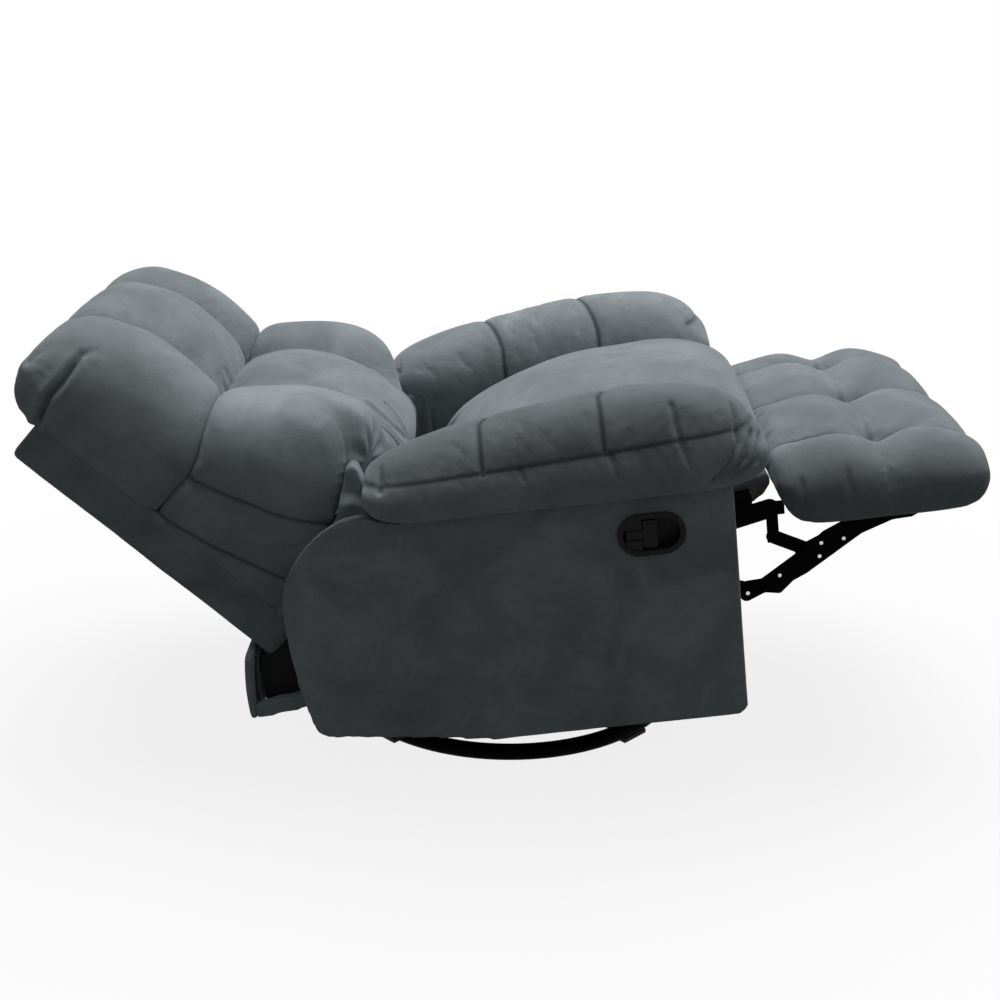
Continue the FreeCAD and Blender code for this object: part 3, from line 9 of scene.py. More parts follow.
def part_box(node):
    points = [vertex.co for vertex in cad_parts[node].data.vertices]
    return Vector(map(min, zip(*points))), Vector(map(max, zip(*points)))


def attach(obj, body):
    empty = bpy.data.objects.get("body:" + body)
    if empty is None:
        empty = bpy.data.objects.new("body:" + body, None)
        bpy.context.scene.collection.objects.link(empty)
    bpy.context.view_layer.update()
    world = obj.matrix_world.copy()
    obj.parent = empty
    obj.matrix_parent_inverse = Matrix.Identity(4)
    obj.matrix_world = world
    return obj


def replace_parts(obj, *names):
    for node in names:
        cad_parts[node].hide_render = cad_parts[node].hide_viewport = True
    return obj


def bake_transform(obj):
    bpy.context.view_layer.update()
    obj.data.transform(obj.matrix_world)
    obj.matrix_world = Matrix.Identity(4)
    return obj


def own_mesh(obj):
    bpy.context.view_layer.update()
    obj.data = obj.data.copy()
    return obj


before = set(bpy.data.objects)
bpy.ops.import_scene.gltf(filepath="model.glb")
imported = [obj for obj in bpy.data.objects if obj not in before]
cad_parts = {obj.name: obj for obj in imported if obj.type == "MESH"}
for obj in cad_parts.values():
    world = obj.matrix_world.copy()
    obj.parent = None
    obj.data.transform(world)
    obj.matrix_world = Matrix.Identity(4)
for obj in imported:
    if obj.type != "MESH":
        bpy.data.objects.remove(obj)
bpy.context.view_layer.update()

SCENE = bpy.context.scene

# Places, in metres. The chair leans back by ROCK at rest; "level" places are the chair before that lean.
ROCK = math.radians(-6.7)
ROCK_Z = 0.360
LEAN = math.radians(41.65)
TAIL_X = -0.425
TAIL_Z = 0.280
SHIFT = (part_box("floor_ring")[0][0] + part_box("floor_ring")[1][0]) / 2


def to_level(p):
    """Row frame places as level chair places."""
    c, s = math.cos(ROCK), math.sin(ROCK)
    x = p[:, 0] - SHIFT
    z = p[:, 2] - ROCK_Z
    return np.column_stack((x * c - z * s, p[:, 1], ROCK_Z + x * s + z * c))


def from_level(p):
    c, s = math.cos(ROCK), math.sin(ROCK)
    z = p[:, 2] - ROCK_Z
    return np.column_stack((p[:, 0] * c + z * s + SHIFT, p[:, 1], ROCK_Z - p[:, 0] * s + z * c))


def to_back(p):
    """Row frame places as places on the reclined back: out from its rear face, across, and up it."""
    q = to_level(p)
    c, s = math.cos(LEAN), math.sin(LEAN)
    x = q[:, 0] - TAIL_X
    z = q[:, 2] - TAIL_Z
    return np.column_stack((x * c + z * s, q[:, 1], z * c - x * s))


def from_back(p):
    c, s = math.cos(LEAN), math.sin(LEAN)
    x = TAIL_X + p[:, 0] * c - p[:, 2] * s
    z = TAIL_Z + p[:, 0] * s + p[:, 2] * c
    return from_level(np.column_stack((x, p[:, 1], z)))


# Pairs of functions: from frame places to local ones, and back again.
LEVEL = (to_level, from_level)
BACK = (to_back, from_back)


def points(o):
    co = np.empty(3 * len(o.data.vertices))
    o.data.vertices.foreach_get("co", co)
    return co.reshape(-1, 3)


def normals(o):
    no = np.empty(3 * len(o.data.vertices))
    o.data.vertices.foreach_get("normal", no)
    return no.reshape(-1, 3)


def set_points(o, co):
    o.data.vertices.foreach_set("co", np.ascontiguousarray(co, dtype=np.float64).ravel())
    o.data.update()


def bell(gap, width):
    """1 at no gap, falling smoothly to about 0 at twice the width."""
    return np.exp(-(gap / width) ** 2)


def ramp(value, low, high):
    """0 up to low, 1 from high on, and smooth between."""
    t = np.clip((value - low) / (high - low), 0, 1)
    return t * t * (3 - 2 * t)


def path_gap(u, v, path):
    """Distance from each place to a path of straight runs, and how far along the path its foot lies."""
    best = np.full(len(u), 1e9)
    along = np.zeros(len(u))
    done = 0.0
    for (au, av), (bu, bv) in zip(path, path[1:]):
        du, dv = bu - au, bv - av
        length = math.hypot(du, dv)
        t = np.clip(((u - au) * du + (v - av) * dv) / length ** 2, 0, 1)
        gap = np.hypot(u - au - t * du, v - av - t * dv)
        near = gap < best
        best = np.where(near, gap, best)
        along = np.where(near, done + t * length, along)
        done += length
    return best, along


def ripple(co, scale, seed):
    """Smooth noise between about -1 and 1 at each place."""
    off = Vector((seed * 7.31, seed * 3.77, seed * 5.13))
    return np.array([noise.noise(Vector(p) * scale + off) for p in co])


def add(name, mesh):
    o = bpy.data.objects.new(name, mesh)
    SCENE.collection.objects.link(o)
    return o


def apply_modifiers(o):
    graph = bpy.context.evaluated_depsgraph_get()
    mesh = bpy.data.meshes.new_from_object(o.evaluated_get(graph))
    o.modifiers.clear()
    old = o.data
    o.data = mesh
    bpy.data.meshes.remove(old)


def remeshed(name, mesh, voxel, smooth, places):
    """A copy of a closed mesh in even faces that lie along the local directions, its hard edges eased."""
    local, back_again = places
    o = add(name, mesh.copy())
    o.data.materials.clear()
    set_points(o, local(points(o)))
    mod = o.modifiers.new("remesh", "REMESH")
    mod.mode = "VOXEL"
    mod.voxel_size = voxel
    ease = o.modifiers.new("ease", "SMOOTH")
    ease.factor = 0.5
    ease.iterations = smooth
    apply_modifiers(o)
    set_points(o, back_again(points(o)))
    return o


def slab(low, high, radius):
    """A box with round edges, between two corners."""
    mesh = bpy.data.meshes.new("slab")
    form = bmesh.new()
    bmesh.ops.create_cube(form, size=1.0)
    for v in form.verts:
        v.co = Vector([(a + b) / 2 + c * (b - a) for a, b, c in zip(low, high, v.co)])
    bmesh.ops.bevel(form, geom=form.edges[:], offset=radius, segments=4, profile=0.5, affect="EDGES")
    form.to_mesh(mesh)
    form.free()
    return mesh


def inflate(o, pin, pressure, cap, frames):
    """Blows a piece up as stuffed fabric with some slack: held where pin is high, moved by cap at most."""
    start = points(o)
    group = o.vertex_groups.new(name="sewn")
    for i in np.nonzero(pin > 0.02)[0]:
        group.add([int(i)], float(min(1.0, pin[i])), "REPLACE")
    mod = o.modifiers.new("fill", "CLOTH")
    cloth = mod.settings
    cloth.quality = 4
    cloth.mass = 0.3
    cloth.tension_stiffness = 15
    cloth.compression_stiffness = 15
    cloth.shear_stiffness = 6
    cloth.bending_stiffness = 0.4
    cloth.use_pressure = True
    cloth.uniform_pressure_force = pressure
    cloth.shrink_min = -0.006
    cloth.vertex_group_mass = "sewn"
    cloth.effector_weights.gravity = 0
    mod.collision_settings.use_collision = False
    mod.collision_settings.use_self_collision = False
    mod.point_cache.frame_start = 1
    mod.point_cache.frame_end = frames
    for f in range(1, frames + 1):
        SCENE.frame_set(f)
    graph = bpy.context.evaluated_depsgraph_get()
    mesh = o.evaluated_get(graph).to_mesh()
    co = np.empty(3 * len(mesh.vertices))
    mesh.vertices.foreach_get("co", co)
    o.evaluated_get(graph).to_mesh_clear()
    moved = co.reshape(-1, 3) - start
    size = np.linalg.norm(moved, axis=1)
    limit = cap * np.tanh(size / cap)
    moved *= np.where(size > 1e-9, limit / np.maximum(size, 1e-9), 1)[:, None]
    o.modifiers.remove(mod)
    o.vertex_groups.clear()
    SCENE.frame_set(1)
    set_points(o, start + moved)


def finish_soft(o, material, levels=1):
    if levels:
        mod = o.modifiers.new("fine", "SUBSURF")
        mod.levels = levels
        mod.render_levels = levels
        apply_modifiers(o)
    o.data.polygons.foreach_set("use_smooth", [True] * len(o.data.polygons))
    o.data.materials.clear()
    o.data.materials.append(material)


def write_layer(o, name, value):
    layer = o.data.attributes.new(name, "FLOAT", "POINT")
    layer.data.foreach_set("value", np.asarray(value, dtype=np.float32))


# Materials


def new_material(name):
    m = bpy.data.materials.new(name)
    m.use_nodes = True
    return m, m.node_tree.nodes, m.node_tree.links, m.node_tree.nodes["Principled BSDF"]


def noise_node(nodes, links, coord, scale, detail=3.0, rough=0.55, distortion=0.0, stretch=None):
    tex = nodes.new("ShaderNodeTexNoise")
    tex.inputs["Scale"].default_value = scale
    tex.inputs["Detail"].default_value = detail
    tex.inputs["Roughness"].default_value = rough
    tex.inputs["Distortion"].default_value = distortion
    if stretch:
        place = nodes.new("ShaderNodeMapping")
        place.inputs["Scale"].default_value = stretch
        links.new(coord, place.inputs["Vector"])
        coord = place.outputs["Vector"]
    links.new(coord, tex.inputs["Vector"])
    return tex.outputs["Fac"]


def spread(nodes, links, value, low, high, out_low, out_high):
    node = nodes.new("ShaderNodeMapRange")
    node.inputs["From Min"].default_value = low
    node.inputs["From Max"].default_value = high
    node.inputs["To Min"].default_value = out_low
    node.inputs["To Max"].default_value = out_high
    links.new(value, node.inputs["Value"])
    return node.outputs["Result"]


def times(nodes, links, a, b):
    node = nodes.new("ShaderNodeMath")
    node.operation = "MULTIPLY"
    links.new(a, node.inputs[0])
    links.new(b, node.inputs[1])
    return node.outputs["Value"]


def tinted(nodes, links, colour, factor):
    """A colour made lighter and darker by a factor."""
    node = nodes.new("ShaderNodeVectorMath")
    node.operation = "SCALE"
    node.inputs[0].default_value = colour
    links.new(factor, node.inputs["Scale"])
    return node.outputs["Vector"]


def raise_bump(nodes, links, height, distance, strength, under=None):
    node = nodes.new("ShaderNodeBump")
    node.inputs["Distance"].default_value = distance
    node.inputs["Strength"].default_value = strength
    links.new(height, node.inputs["Height"])
    if under:
        links.new(under, node.inputs["Normal"])
    return node.outputs["Normal"]


def microfibre(name, colour, blotch=0.16):
    """Brushed upholstery: lighter and darker brushed strokes, fine fibres, painted shade along the seams, and
    painted light and shade from a point layer.
    """
    m, nodes, links, shader = new_material(name)
    coord = nodes.new("ShaderNodeTexCoord").outputs["Object"]
    cloud = noise_node(nodes, links, coord, 7.5, 5.0, 0.62, 0.7)
    stroke = noise_node(nodes, links, coord, 30.0, 4.0, 0.6, 1.1, (0.55, 1.0, 1.5))
    fibre = noise_node(nodes, links, coord, 620.0, 2.0, 0.6)
    shade = spread(nodes, links, cloud, 0.34, 0.66, 1 - blotch, 1 + blotch)
    shade = times(nodes, links, shade, spread(nodes, links, stroke, 0.3, 0.7, 0.94, 1.06))
    shade = times(nodes, links, shade, spread(nodes, links, fibre, 0.3, 0.7, 0.93, 1.07))
    # Painted shade: the colour darkens along the seams, where their grooves fall in shade.
    seam = nodes.new("ShaderNodeAttribute")
    seam.attribute_name = "seam"
    shade = times(nodes, links, shade, spread(nodes, links, seam.outputs["Fac"], 0.0, 1.0, 1.0, 0.26))
    # Painted light and shade: a point layer lightens or darkens parts of the fabric for how the light falls
    # on them.
    painted_light_and_shade = nodes.new("ShaderNodeAttribute")
    painted_light_and_shade.attribute_name = "painted_light_and_shade"
    shade = times(nodes, links, shade, spread(nodes, links, painted_light_and_shade.outputs["Fac"], -1.0, 1.0, 0.0, 2.0))
    links.new(tinted(nodes, links, colour, shade), shader.inputs["Base Color"])
    links.new(spread(nodes, links, stroke, 0.3, 0.7, 0.82, 0.94), shader.inputs["Roughness"])
    shader.inputs["Sheen Weight"].default_value = 0.25
    shader.inputs["Sheen Roughness"].default_value = 0.45
    shader.inputs["Sheen Tint"].default_value = (0.80, 0.90, 0.95, 1)
    shader.inputs["Specular IOR Level"].default_value = 0.12
    soft = raise_bump(nodes, links, stroke, 0.004, 0.18)
    links.new(raise_bump(nodes, links, fibre, 0.0006, 0.35, soft), shader.inputs["Normal"])
    return m


def enamel(name, colour, rough, metallic, grain, depth, gloss):
    """Coated or plated metal, or moulded plastic: an even colour with a fine skin and uneven gloss."""
    m, nodes, links, shader = new_material(name)
    coord = nodes.new("ShaderNodeTexCoord").outputs["Object"]
    skin = noise_node(nodes, links, coord, grain, 2.0, 0.5)
    worn = noise_node(nodes, links, coord, 16.0, 5.0, 0.65, 0.4)
    shade = spread(nodes, links, worn, 0.3, 0.7, 0.85, 1.15)
    links.new(tinted(nodes, links, colour, shade), shader.inputs["Base Color"])
    links.new(spread(nodes, links, worn, 0.3, 0.7, *rough), shader.inputs["Roughness"])
    shader.inputs["Metallic"].default_value = metallic
    shader.inputs["Specular IOR Level"].default_value = gloss
    links.new(raise_bump(nodes, links, skin, depth, 0.5), shader.inputs["Normal"])
    return m


def timber(name, light, dark):
    """Bare board: long grain in two browns, with fine pores."""
    m, nodes, links, shader = new_material(name)
    coord = nodes.new("ShaderNodeTexCoord").outputs["Object"]
    grain = noise_node(nodes, links, coord, 22.0, 6.0, 0.65, 1.2, (0.35, 4.0, 4.0))
    pore = noise_node(nodes, links, coord, 260.0, 2.0, 0.5, 0.0, (0.15, 1.0, 1.0))
    mix = nodes.new("ShaderNodeMix")
    mix.data_type = "RGBA"
    mix.inputs["A"].default_value = dark
    mix.inputs["B"].default_value = light
    links.new(spread(nodes, links, grain, 0.3, 0.7, 0.0, 1.0), mix.inputs["Factor"])
    links.new(mix.outputs["Result"], shader.inputs["Base Color"])
    links.new(spread(nodes, links, pore, 0.3, 0.7, 0.6, 0.8), shader.inputs["Roughness"])
    links.new(raise_bump(nodes, links, pore, 0.0006, 0.4), shader.inputs["Normal"])
    return m


FABRIC = microfibre("cushion_microfibre", (0.205, 0.228, 0.238))
PANEL_FABRIC = microfibre("panel_microfibre", (0.205, 0.226, 0.230), 0.20)
FINISHES = {
    "cushion_fabric": FABRIC,
    "panel_fabric": PANEL_FABRIC,
    # The same black cloth serves the dust cover and the black sheets of painted shade.
    "dust_cloth": microfibre("black_cloth_and_painted_shade", (0.020, 0.020, 0.021), 0.08),
    "frame_timber": timber("frame_timber_grain", (0.46, 0.31, 0.17, 1), (0.26, 0.15, 0.075, 1)),
    "black_steel": enamel("black_coated_steel", (0.003, 0.003, 0.0033), rough=(0.36, 0.52), metallic=0.0,
                          grain=420.0, depth=0.0003, gloss=0.012),
    "bright_steel": enamel("plated_steel", (0.62, 0.62, 0.60), rough=(0.24, 0.38), metallic=1.0,
                           grain=300.0, depth=0.0002, gloss=0.5),
    "black_plastic": enamel("grained_plastic", (0.007, 0.007, 0.0077), rough=(0.42, 0.56), metallic=0.0,
                            grain=900.0, depth=0.0004, gloss=0.10),
}

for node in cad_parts.values():
    for place in node.material_slots:
        word = place.material.name.split(".")[0] if place.material else ""
        if word in FINISHES:
            place.material = FINISHES[word]


# Soft pieces

VOXEL = 0.0055
BOARD_VOXEL = 0.006
FINE_VOXEL = 0.0045
CLOTH_FRAMES = 10
GROOVE_WIDTH = 0.014
SEWN_WIDTH = 0.0055
STITCH_WIDTH = 0.0032
STITCH_DEPTH = 0.0020
PUCKER_STEP = 0.023
SEAM_SHADE_WIDTH = 0.0046
FAR = 1.0


def sewn(gap, along, strength=1.0):
    """One seam: the gap to it, the place along it, and how firmly it is drawn in."""
    return gap, along, strength + np.zeros(len(gap))


def nearest(*seams):
    """The nearest of several seams at each place."""
    gap, along, strength = seams[0]
    for other, place, firm in seams[1:]:
        near = other < gap
        along = np.where(near, place, along)
        strength = np.where(near, firm, strength)
        gap = np.minimum(gap, other)
    return gap, along, strength


def only(where, gap):
    """The gap where a seam exists, and far off elsewhere."""
    return np.where(where, gap, FAR)


def pillow(name, node, body, places, seams, hold, shape=None, groove=0.003, cap=0.011, pressure=4.0,
           crease=None, painted_light_and_shade=None):
    """A stuffed cover over one CAD solid: drawn in along its seams, blown up, then puckered along them."""
    local, back_again = places
    o = remeshed(name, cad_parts[node].data, VOXEL, 4, places)
    if shape:
        set_points(o, back_again(shape(local(points(o)))))
    q = local(points(o))
    gap, along, strength = seams(q)
    held = hold(q)
    set_points(o, points(o) - normals(o) * (groove * strength * bell(gap, GROOVE_WIDTH))[:, None])
    inflate(o, np.maximum(strength ** 2 * bell(gap, SEWN_WIDTH), held), pressure, cap, CLOTH_FRAMES)
    finish_soft(o, FABRIC)
    co = points(o)
    q = local(co)
    gap, along, strength = seams(q)
    free = 1 - hold(q)
    wave = np.sin(along * 2 * math.pi / PUCKER_STEP + 4.0 * ripple(co, 14, 2))
    wave = wave * ramp(ripple(co, 9, 4), -0.1, 0.4)
    stitch = STITCH_DEPTH * bell(gap, STITCH_WIDTH)
    down = strength * (stitch + free * 0.0005 * wave * bell(gap - 0.007, 0.009))
    down = down + free * 0.0018 * ripple(co, 8, 5) + free * 0.0005 * ripple(co, 30, 8)
    if crease:
        down = down + crease(q)
    set_points(o, co - normals(o) * down[:, None])
    # Painted shade along the seams, read by the fabric material.
    write_layer(o, "seam", strength * bell(gap, SEAM_SHADE_WIDTH))
    # Painted light and shade, where given.
    if painted_light_and_shade:
        write_layer(o, "painted_light_and_shade", painted_light_and_shade(q))
    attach(o, body)
    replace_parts(o, node)


# Seat

SEAT_WIDER = 1.006


def no_seams(q):
    return sewn(np.full(len(q), FAR), np.zeros(len(q)))


def seat_hold(q):
    """The seat is held along its bottom, which rises to the front, and low on its sides."""
    side = ramp(np.abs(q[:, 1]), 0.250, 0.262) * (1 - ramp(q[:, 2], 0.50, 0.54))
    return np.maximum(1 - ramp(q[:, 2] - 0.395 - 0.17 * q[:, 0], 0.012, 0.05), side)


def seat_shape(q):
    """The seat fills the corners between the back and the arms, and is a little wider than its solid."""
    q = q.copy()
    q[:, 0] -= 0.042 * ramp(np.abs(q[:, 1]), 0.15, 0.22) * ramp(-q[:, 0], 0.04, 0.175)
    q[:, 1] *= SEAT_WIDER
    return q


pillow("seat_cover", "seat_cushion", "seat", LEVEL, no_seams, seat_hold, seat_shape, cap=0.010, pressure=3.0)

# Arms

ARM_SEAM_Z = 0.603
ARM_SEAM_RISE = 0.055
ARM_CROSS = (-0.012, 0.187)


def arm_seams(q):
    """A seam along the outer side and round both ends, and two across the top."""
    x, y, z = q[:, 0], np.abs(q[:, 1]), q[:, 2]
    level_gap = np.abs(z - ARM_SEAM_Z - ARM_SEAM_RISE * x)
    seam = sewn(only((y > 0.38) | (x > 0.40) | (x < -0.20), level_gap), x, 0.7)
    above = (z > ARM_SEAM_Z + ARM_SEAM_RISE * x - 0.004) | (y < 0.34)
    slant = 0.030 * np.clip((0.362 - y) / 0.08, -0.2, 1)
    crossing = []
    for place in ARM_CROSS:
        crossing.append(sewn(only(above, np.abs(x - place - slant)), y + z))
    return nearest(seam, *crossing)


def arm_hold(q):
    return 1 - ramp(q[:, 2], 0.530, 0.552)


def arm_shape(q):
    """The pad's fabric runs on down the arm's inner face."""
    q = q.copy()
    inner = (1 - ramp(np.abs(q[:, 1]), 0.276, 0.318)) * (1 - ramp(q[:, 0], 0.32, 0.39))
    q[:, 2] -= 0.078 * inner * (1 - ramp(q[:, 2], 0.527, 0.590))
    return q


ARM_TUCKS = [
    ([(0.296, 0.672), (0.299, 0.640), (0.302, 0.622)], 0.007),
    ([(0.394, 0.668), (0.399, 0.640), (0.394, 0.606)], 0.011),
    ([(0.394, 0.606), (0.376, 0.572), (0.350, 0.545)], 0.010),
    ([(0.420, 0.612), (0.404, 0.578), (0.362, 0.546)], 0.009),
    ([(0.436, 0.604), (0.424, 0.572), (0.378, 0.546)], 0.008),
    ([(0.302, 0.618), (0.310, 0.590), (0.326, 0.560)], 0.005),
    ([(0.190, 0.612), (0.193, 0.592), (0.198, 0.576)], 0.005),
    ([(0.042, 0.604), (0.046, 0.586)], 0.004),
    ([(-0.186, 0.628), (-0.190, 0.588)], 0.008),
]
TUCK_WIDTH = 0.0050


def arm_crease(q):
    """The tucks along the outer seam and the folds drawn together under the front end."""
    x, y, z = q[:, 0], np.abs(q[:, 1]), q[:, 2]
    down = np.zeros(len(q))
    for path, depth in ARM_TUCKS:
        gap = path_gap(x, z, path)[0]
        down = np.maximum(down, depth * bell(gap, TUCK_WIDTH))
    return ramp(y, 0.385, 0.425) * down


def arm_painted_light_and_shade(q):
    """Painted shade on the near arm, most on its top, and painted light on the far arm."""
    return np.where(q[:, 1] < 0, -0.30 * ramp(q[:, 2], 0.59, 0.62) - 0.03, 0.18)


for side in ("left", "right"):
    pillow(f"arm_cover_{side}", f"arm_pad_{side}", "frame", LEVEL, arm_seams, arm_hold, arm_shape,
           crease=arm_crease, painted_light_and_shade=arm_painted_light_and_shade)

# Footrest

REST_COLUMNS = (-0.236, 0.0, 0.236)
REST_CROSS_X = 0.656
REST_SIDE_TUCKS = (0.509, 0.587)


def rest_seams(q):
    """Three seams along the footrest that fade to the front, and one across, firm only where they meet."""
    x, y, z = q[:, 0], q[:, 1], q[:, 2]
    firm = 1 - 0.8 * ramp(x, 0.665, 0.74)
    tuft = np.zeros(len(q))
    lines = []
    for place in REST_COLUMNS:
        lines.append(sewn(only(z > 0.478, np.abs(y - place)), x, firm))
        tuft = np.maximum(tuft, bell(y - place, 0.030))
    cross = sewn(only(z > 0.466, np.abs(x - REST_CROSS_X)), y, 0.15 + 0.7 * tuft)
    return nearest(cross, *lines)


def rest_hold(q):
    return 1 - ramp(q[:, 2], 0.418, 0.445)


def rest_crease(q):
    """The dips where the seams meet and the tucks on the sides."""
    x, y, z = q[:, 0], q[:, 1], q[:, 2]
    pull = np.zeros(len(q))
    for place in REST_COLUMNS:
        pull += 0.012 * bell(np.hypot(x - REST_CROSS_X, y - place), 0.024) * (z > 0.478)
    side = ramp(np.abs(y), 0.345, 0.358)
    for place in REST_SIDE_TUCKS:
        pull += side * 0.005 * bell(x - place, 0.005) * bell(z - 0.485, 0.02)
    return pull


def rest_painted_shade(q):
    """Painted shade: a little darker all over, more so on the near column and low down."""
    return -0.20 * (1 - ramp(q[:, 1], -0.34, -0.24)) - 0.10 * (1 - ramp(q[:, 2], 0.46, 0.50)) - 0.06


def rest_shape(q):
    """The cover reaches down round the board's sides and front edge."""
    q = q.copy()
    rim = np.maximum(ramp(np.abs(q[:, 1]), 0.300, 0.345), ramp(q[:, 0], 0.790, 0.822))
    q[:, 2] -= 0.020 * rim * (1 - ramp(q[:, 2], 0.434, 0.475))
    return q


pillow("footrest_cover", "footrest_pad", "footrest", LEVEL, rest_seams, rest_hold, rest_shape,
       crease=rest_crease, groove=0.004, cap=0.013, painted_light_and_shade=rest_painted_shade)

# Back

BACK_CHANNEL_Y = 0.150
BOXING = [(0.154, 0.318), (0.176, 0.240), (0.201, 0.173), (0.245, 0.071)]
REAR_LINE = [(0.039, 0.640), (0.039, 0.546), (0.045, 0.443), (0.063, 0.348), (0.086, 0.207), (0.122, 0.078)]
WING_LINE = [(0.385, 0.150), (0.318, 0.107), (0.245, 0.072)]
BACK_SIDE_Y = 0.357
CUSHION_SIDE_Y = 0.342


def back_lower_seams(q):
    """Two channels up the front, and on each side the boxing, the rear line and the wing's edge."""
    n, y, s = q[:, 0], np.abs(q[:, 1]), q[:, 2]
    channel = sewn(only(n > 0.15, np.abs(y - BACK_CHANNEL_Y)), s)
    side = y > 0.30
    lines = []
    for path in (BOXING, REAR_LINE, WING_LINE):
        gap, along = path_gap(n, s, path)
        lines.append(sewn(only(side, gap + 0.0015), along))
    return nearest(channel, *lines)


def back_upper_seams(q):
    n, y, s = q[:, 0], np.abs(q[:, 1]), q[:, 2]
    return sewn(only(n > 0.12, np.abs(y - BACK_CHANNEL_Y)), s)


def back_hold(q):
    return 1 - ramp(q[:, 0], 0.072, 0.100)


CROSS_S = 0.385


def cross_drift(q):
    """The seam between the two back cushions runs lower towards their sides."""
    q = q.copy()
    low = 0.012 + 0.050 * (1 - ramp(q[:, 0], 0.15, 0.30))
    q[:, 2] -= low * bell(q[:, 2] - CROSS_S, 0.11)
    return q


def lower_shape(q):
    """As wide as the rear board, with full wings at the arms."""
    q = cross_drift(q)
    n, y, s = q[:, 0], np.abs(q[:, 1]), q[:, 2]
    wing = ramp(y, 0.12, 0.22) * (1 - ramp(y, 0.315, 0.352)) * ramp(n, 0.16, 0.26)
    inner = ramp(y, 0.13, 0.21) * (1 - ramp(y, 0.252, 0.290)) * ramp(n, 0.16, 0.26)
    q[:, 0] += 0.016 * wing * bell(s - 0.20, 0.085) + 0.024 * inner * bell(s - 0.13, 0.070)
    q[:, 1] *= BACK_SIDE_Y / CUSHION_SIDE_Y
    return q


def lower_painted_light(q):
    """Painted light on the near wing's front."""
    return 0.32 * ramp(-q[:, 1], 0.16, 0.26) * ramp(q[:, 0], 0.18, 0.24)


HEAD_FOLDS = [
    ([(0.216, 0.566), (0.198, 0.577), (0.150, 0.571), (0.115, 0.572), (0.069, 0.560)], 0.019, 0.0055),
    ([(0.187, 0.621), (0.168, 0.629), (0.135, 0.635)], 0.005, 0.0060),
]


def head_crease(q):
    """The deep tuck and lesser folds at the corners of the head roll."""
    n, y, s = q[:, 0], np.abs(q[:, 1]), q[:, 2]
    down = np.zeros(len(q))
    for path, depth, width in HEAD_FOLDS:
        gap, along = path_gap(n, s, path)
        deep = depth * (0.10 + 0.90 * ramp(along, 0.0, 0.060))
        down += deep * (bell(gap, width) - 0.25 * bell(gap - 2.4 * width, 1.4 * width))
    return ramp(y, 0.285, 0.325) * down


LUMBAR_FOLDS = [
    ([(0.108, 0.142), (0.122, 0.093), (0.114, 0.050)], 0.0028),
    ([(0.070, 0.112), (0.087, 0.074), (0.103, 0.040)], 0.0036),
    ([(0.128, 0.080), (0.122, 0.050)], 0.0022),
]
FAN_Y = 0.272
FAN_S = 0.095


def lumbar_crease(q):
    """Gathers where the back, the arms and the seat meet."""
    n, y, s = q[:, 0], np.abs(q[:, 1]), q[:, 2]
    reach = np.hypot(y - FAN_Y, s - FAN_S)
    turn = np.arctan2(s - FAN_S, FAN_Y - y)
    fan = np.cos(9 * turn + 2.0 * ripple(q, 9, 6)) * ramp(reach, 0.006, 0.020)
    fan = fan * (1 - ramp(reach, 0.025, 0.060))
    down = 0.0030 * fan * ramp(n, 0.20, 0.24) * (1 - ramp(y, 0.318, 0.338))
    for path, depth in LUMBAR_FOLDS:
        gap = path_gap(y, s, path)[0]
        down = down + depth * (bell(gap, 0.0045) - 0.4 * bell(gap - 0.009, 0.005)) * ramp(n, 0.20, 0.24)
    return down


pillow("back_cover_lower", "back_cushion_lower", "back", BACK, back_lower_seams, back_hold, lower_shape,
       crease=lumbar_crease, groove=0.002, cap=0.010, painted_light_and_shade=lower_painted_light)
pillow("back_cover_upper", "back_cushion_upper", "back", BACK, back_upper_seams, back_hold, cross_drift,
       crease=head_crease, groove=0.002, cap=0.014)


# Fabric over boards


def wrapped(name, node, body, mesh=None, shape=None, depth=0.0012, painted_light_and_shade=None, places=LEVEL):
    """A board with fabric pulled over it: eased edges and slight pulls. Shape and the painted light and shade
    take level places.
    """
    o = remeshed(name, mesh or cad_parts[node].data, BOARD_VOXEL, 2, places)
    if shape:
        set_points(o, from_level(shape(to_level(points(o)))))
    finish_soft(o, PANEL_FABRIC, 1)
    co = points(o)
    down = depth * ripple(co, 9, 3) + 0.35 * depth * ripple(co, 28, 6)
    set_points(o, co - normals(o) * down[:, None])
    if painted_light_and_shade:
        write_layer(o, "painted_light_and_shade", painted_light_and_shade(to_level(co), normals(o)))
    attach(o, body)
    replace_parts(o, node)


SLAB_BEHIND = 0.009
SLAB_AHEAD = 0.010
SLAB_ROUND = 0.010


def rear_slab():
    """The back's rear board as one padded slab, as wide as the cushions in front of it."""
    q = to_back(points(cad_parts["back_shell"]))
    low, high = q.min(axis=0), q.max(axis=0)
    corner = (low[0] - SLAB_BEHIND, -BACK_SIDE_Y, low[2])
    mesh = slab(corner, (high[0] + SLAB_AHEAD, BACK_SIDE_Y, high[2]), SLAB_ROUND)
    flat = np.array([v.co for v in mesh.vertices])
    mesh.vertices.foreach_set("co", from_back(flat).ravel())
    return mesh


PANEL_EDGE = [(0.387, 0.102), (-0.050, 0.100), (-0.300, 0.133), (-0.362, 0.136), (-0.374, 0.190),
              (-0.386, 0.280), (-0.390, 0.410), (-0.345, 0.482), (-0.285, 0.528), (-0.235, 0.543),
              (-0.180, 0.527), (0.387, 0.526)]
PANEL_MIDDLE = (-0.16, 0.34)
EDGE_TURN = 1.6
EDGE_STEPS = 140


def rounded(outline, rounds=4):
    """A closed outline with its corners cut away again and again, into one smooth curve."""
    for i in range(rounds):
        ring = []
        for (au, av), (bu, bv) in zip(outline, outline[1:] + outline[:1]):
            ring.append((0.75 * au + 0.25 * bu, 0.75 * av + 0.25 * bv))
            ring.append((0.25 * au + 0.75 * bu, 0.25 * av + 0.75 * bv))
        outline = ring
    return outline


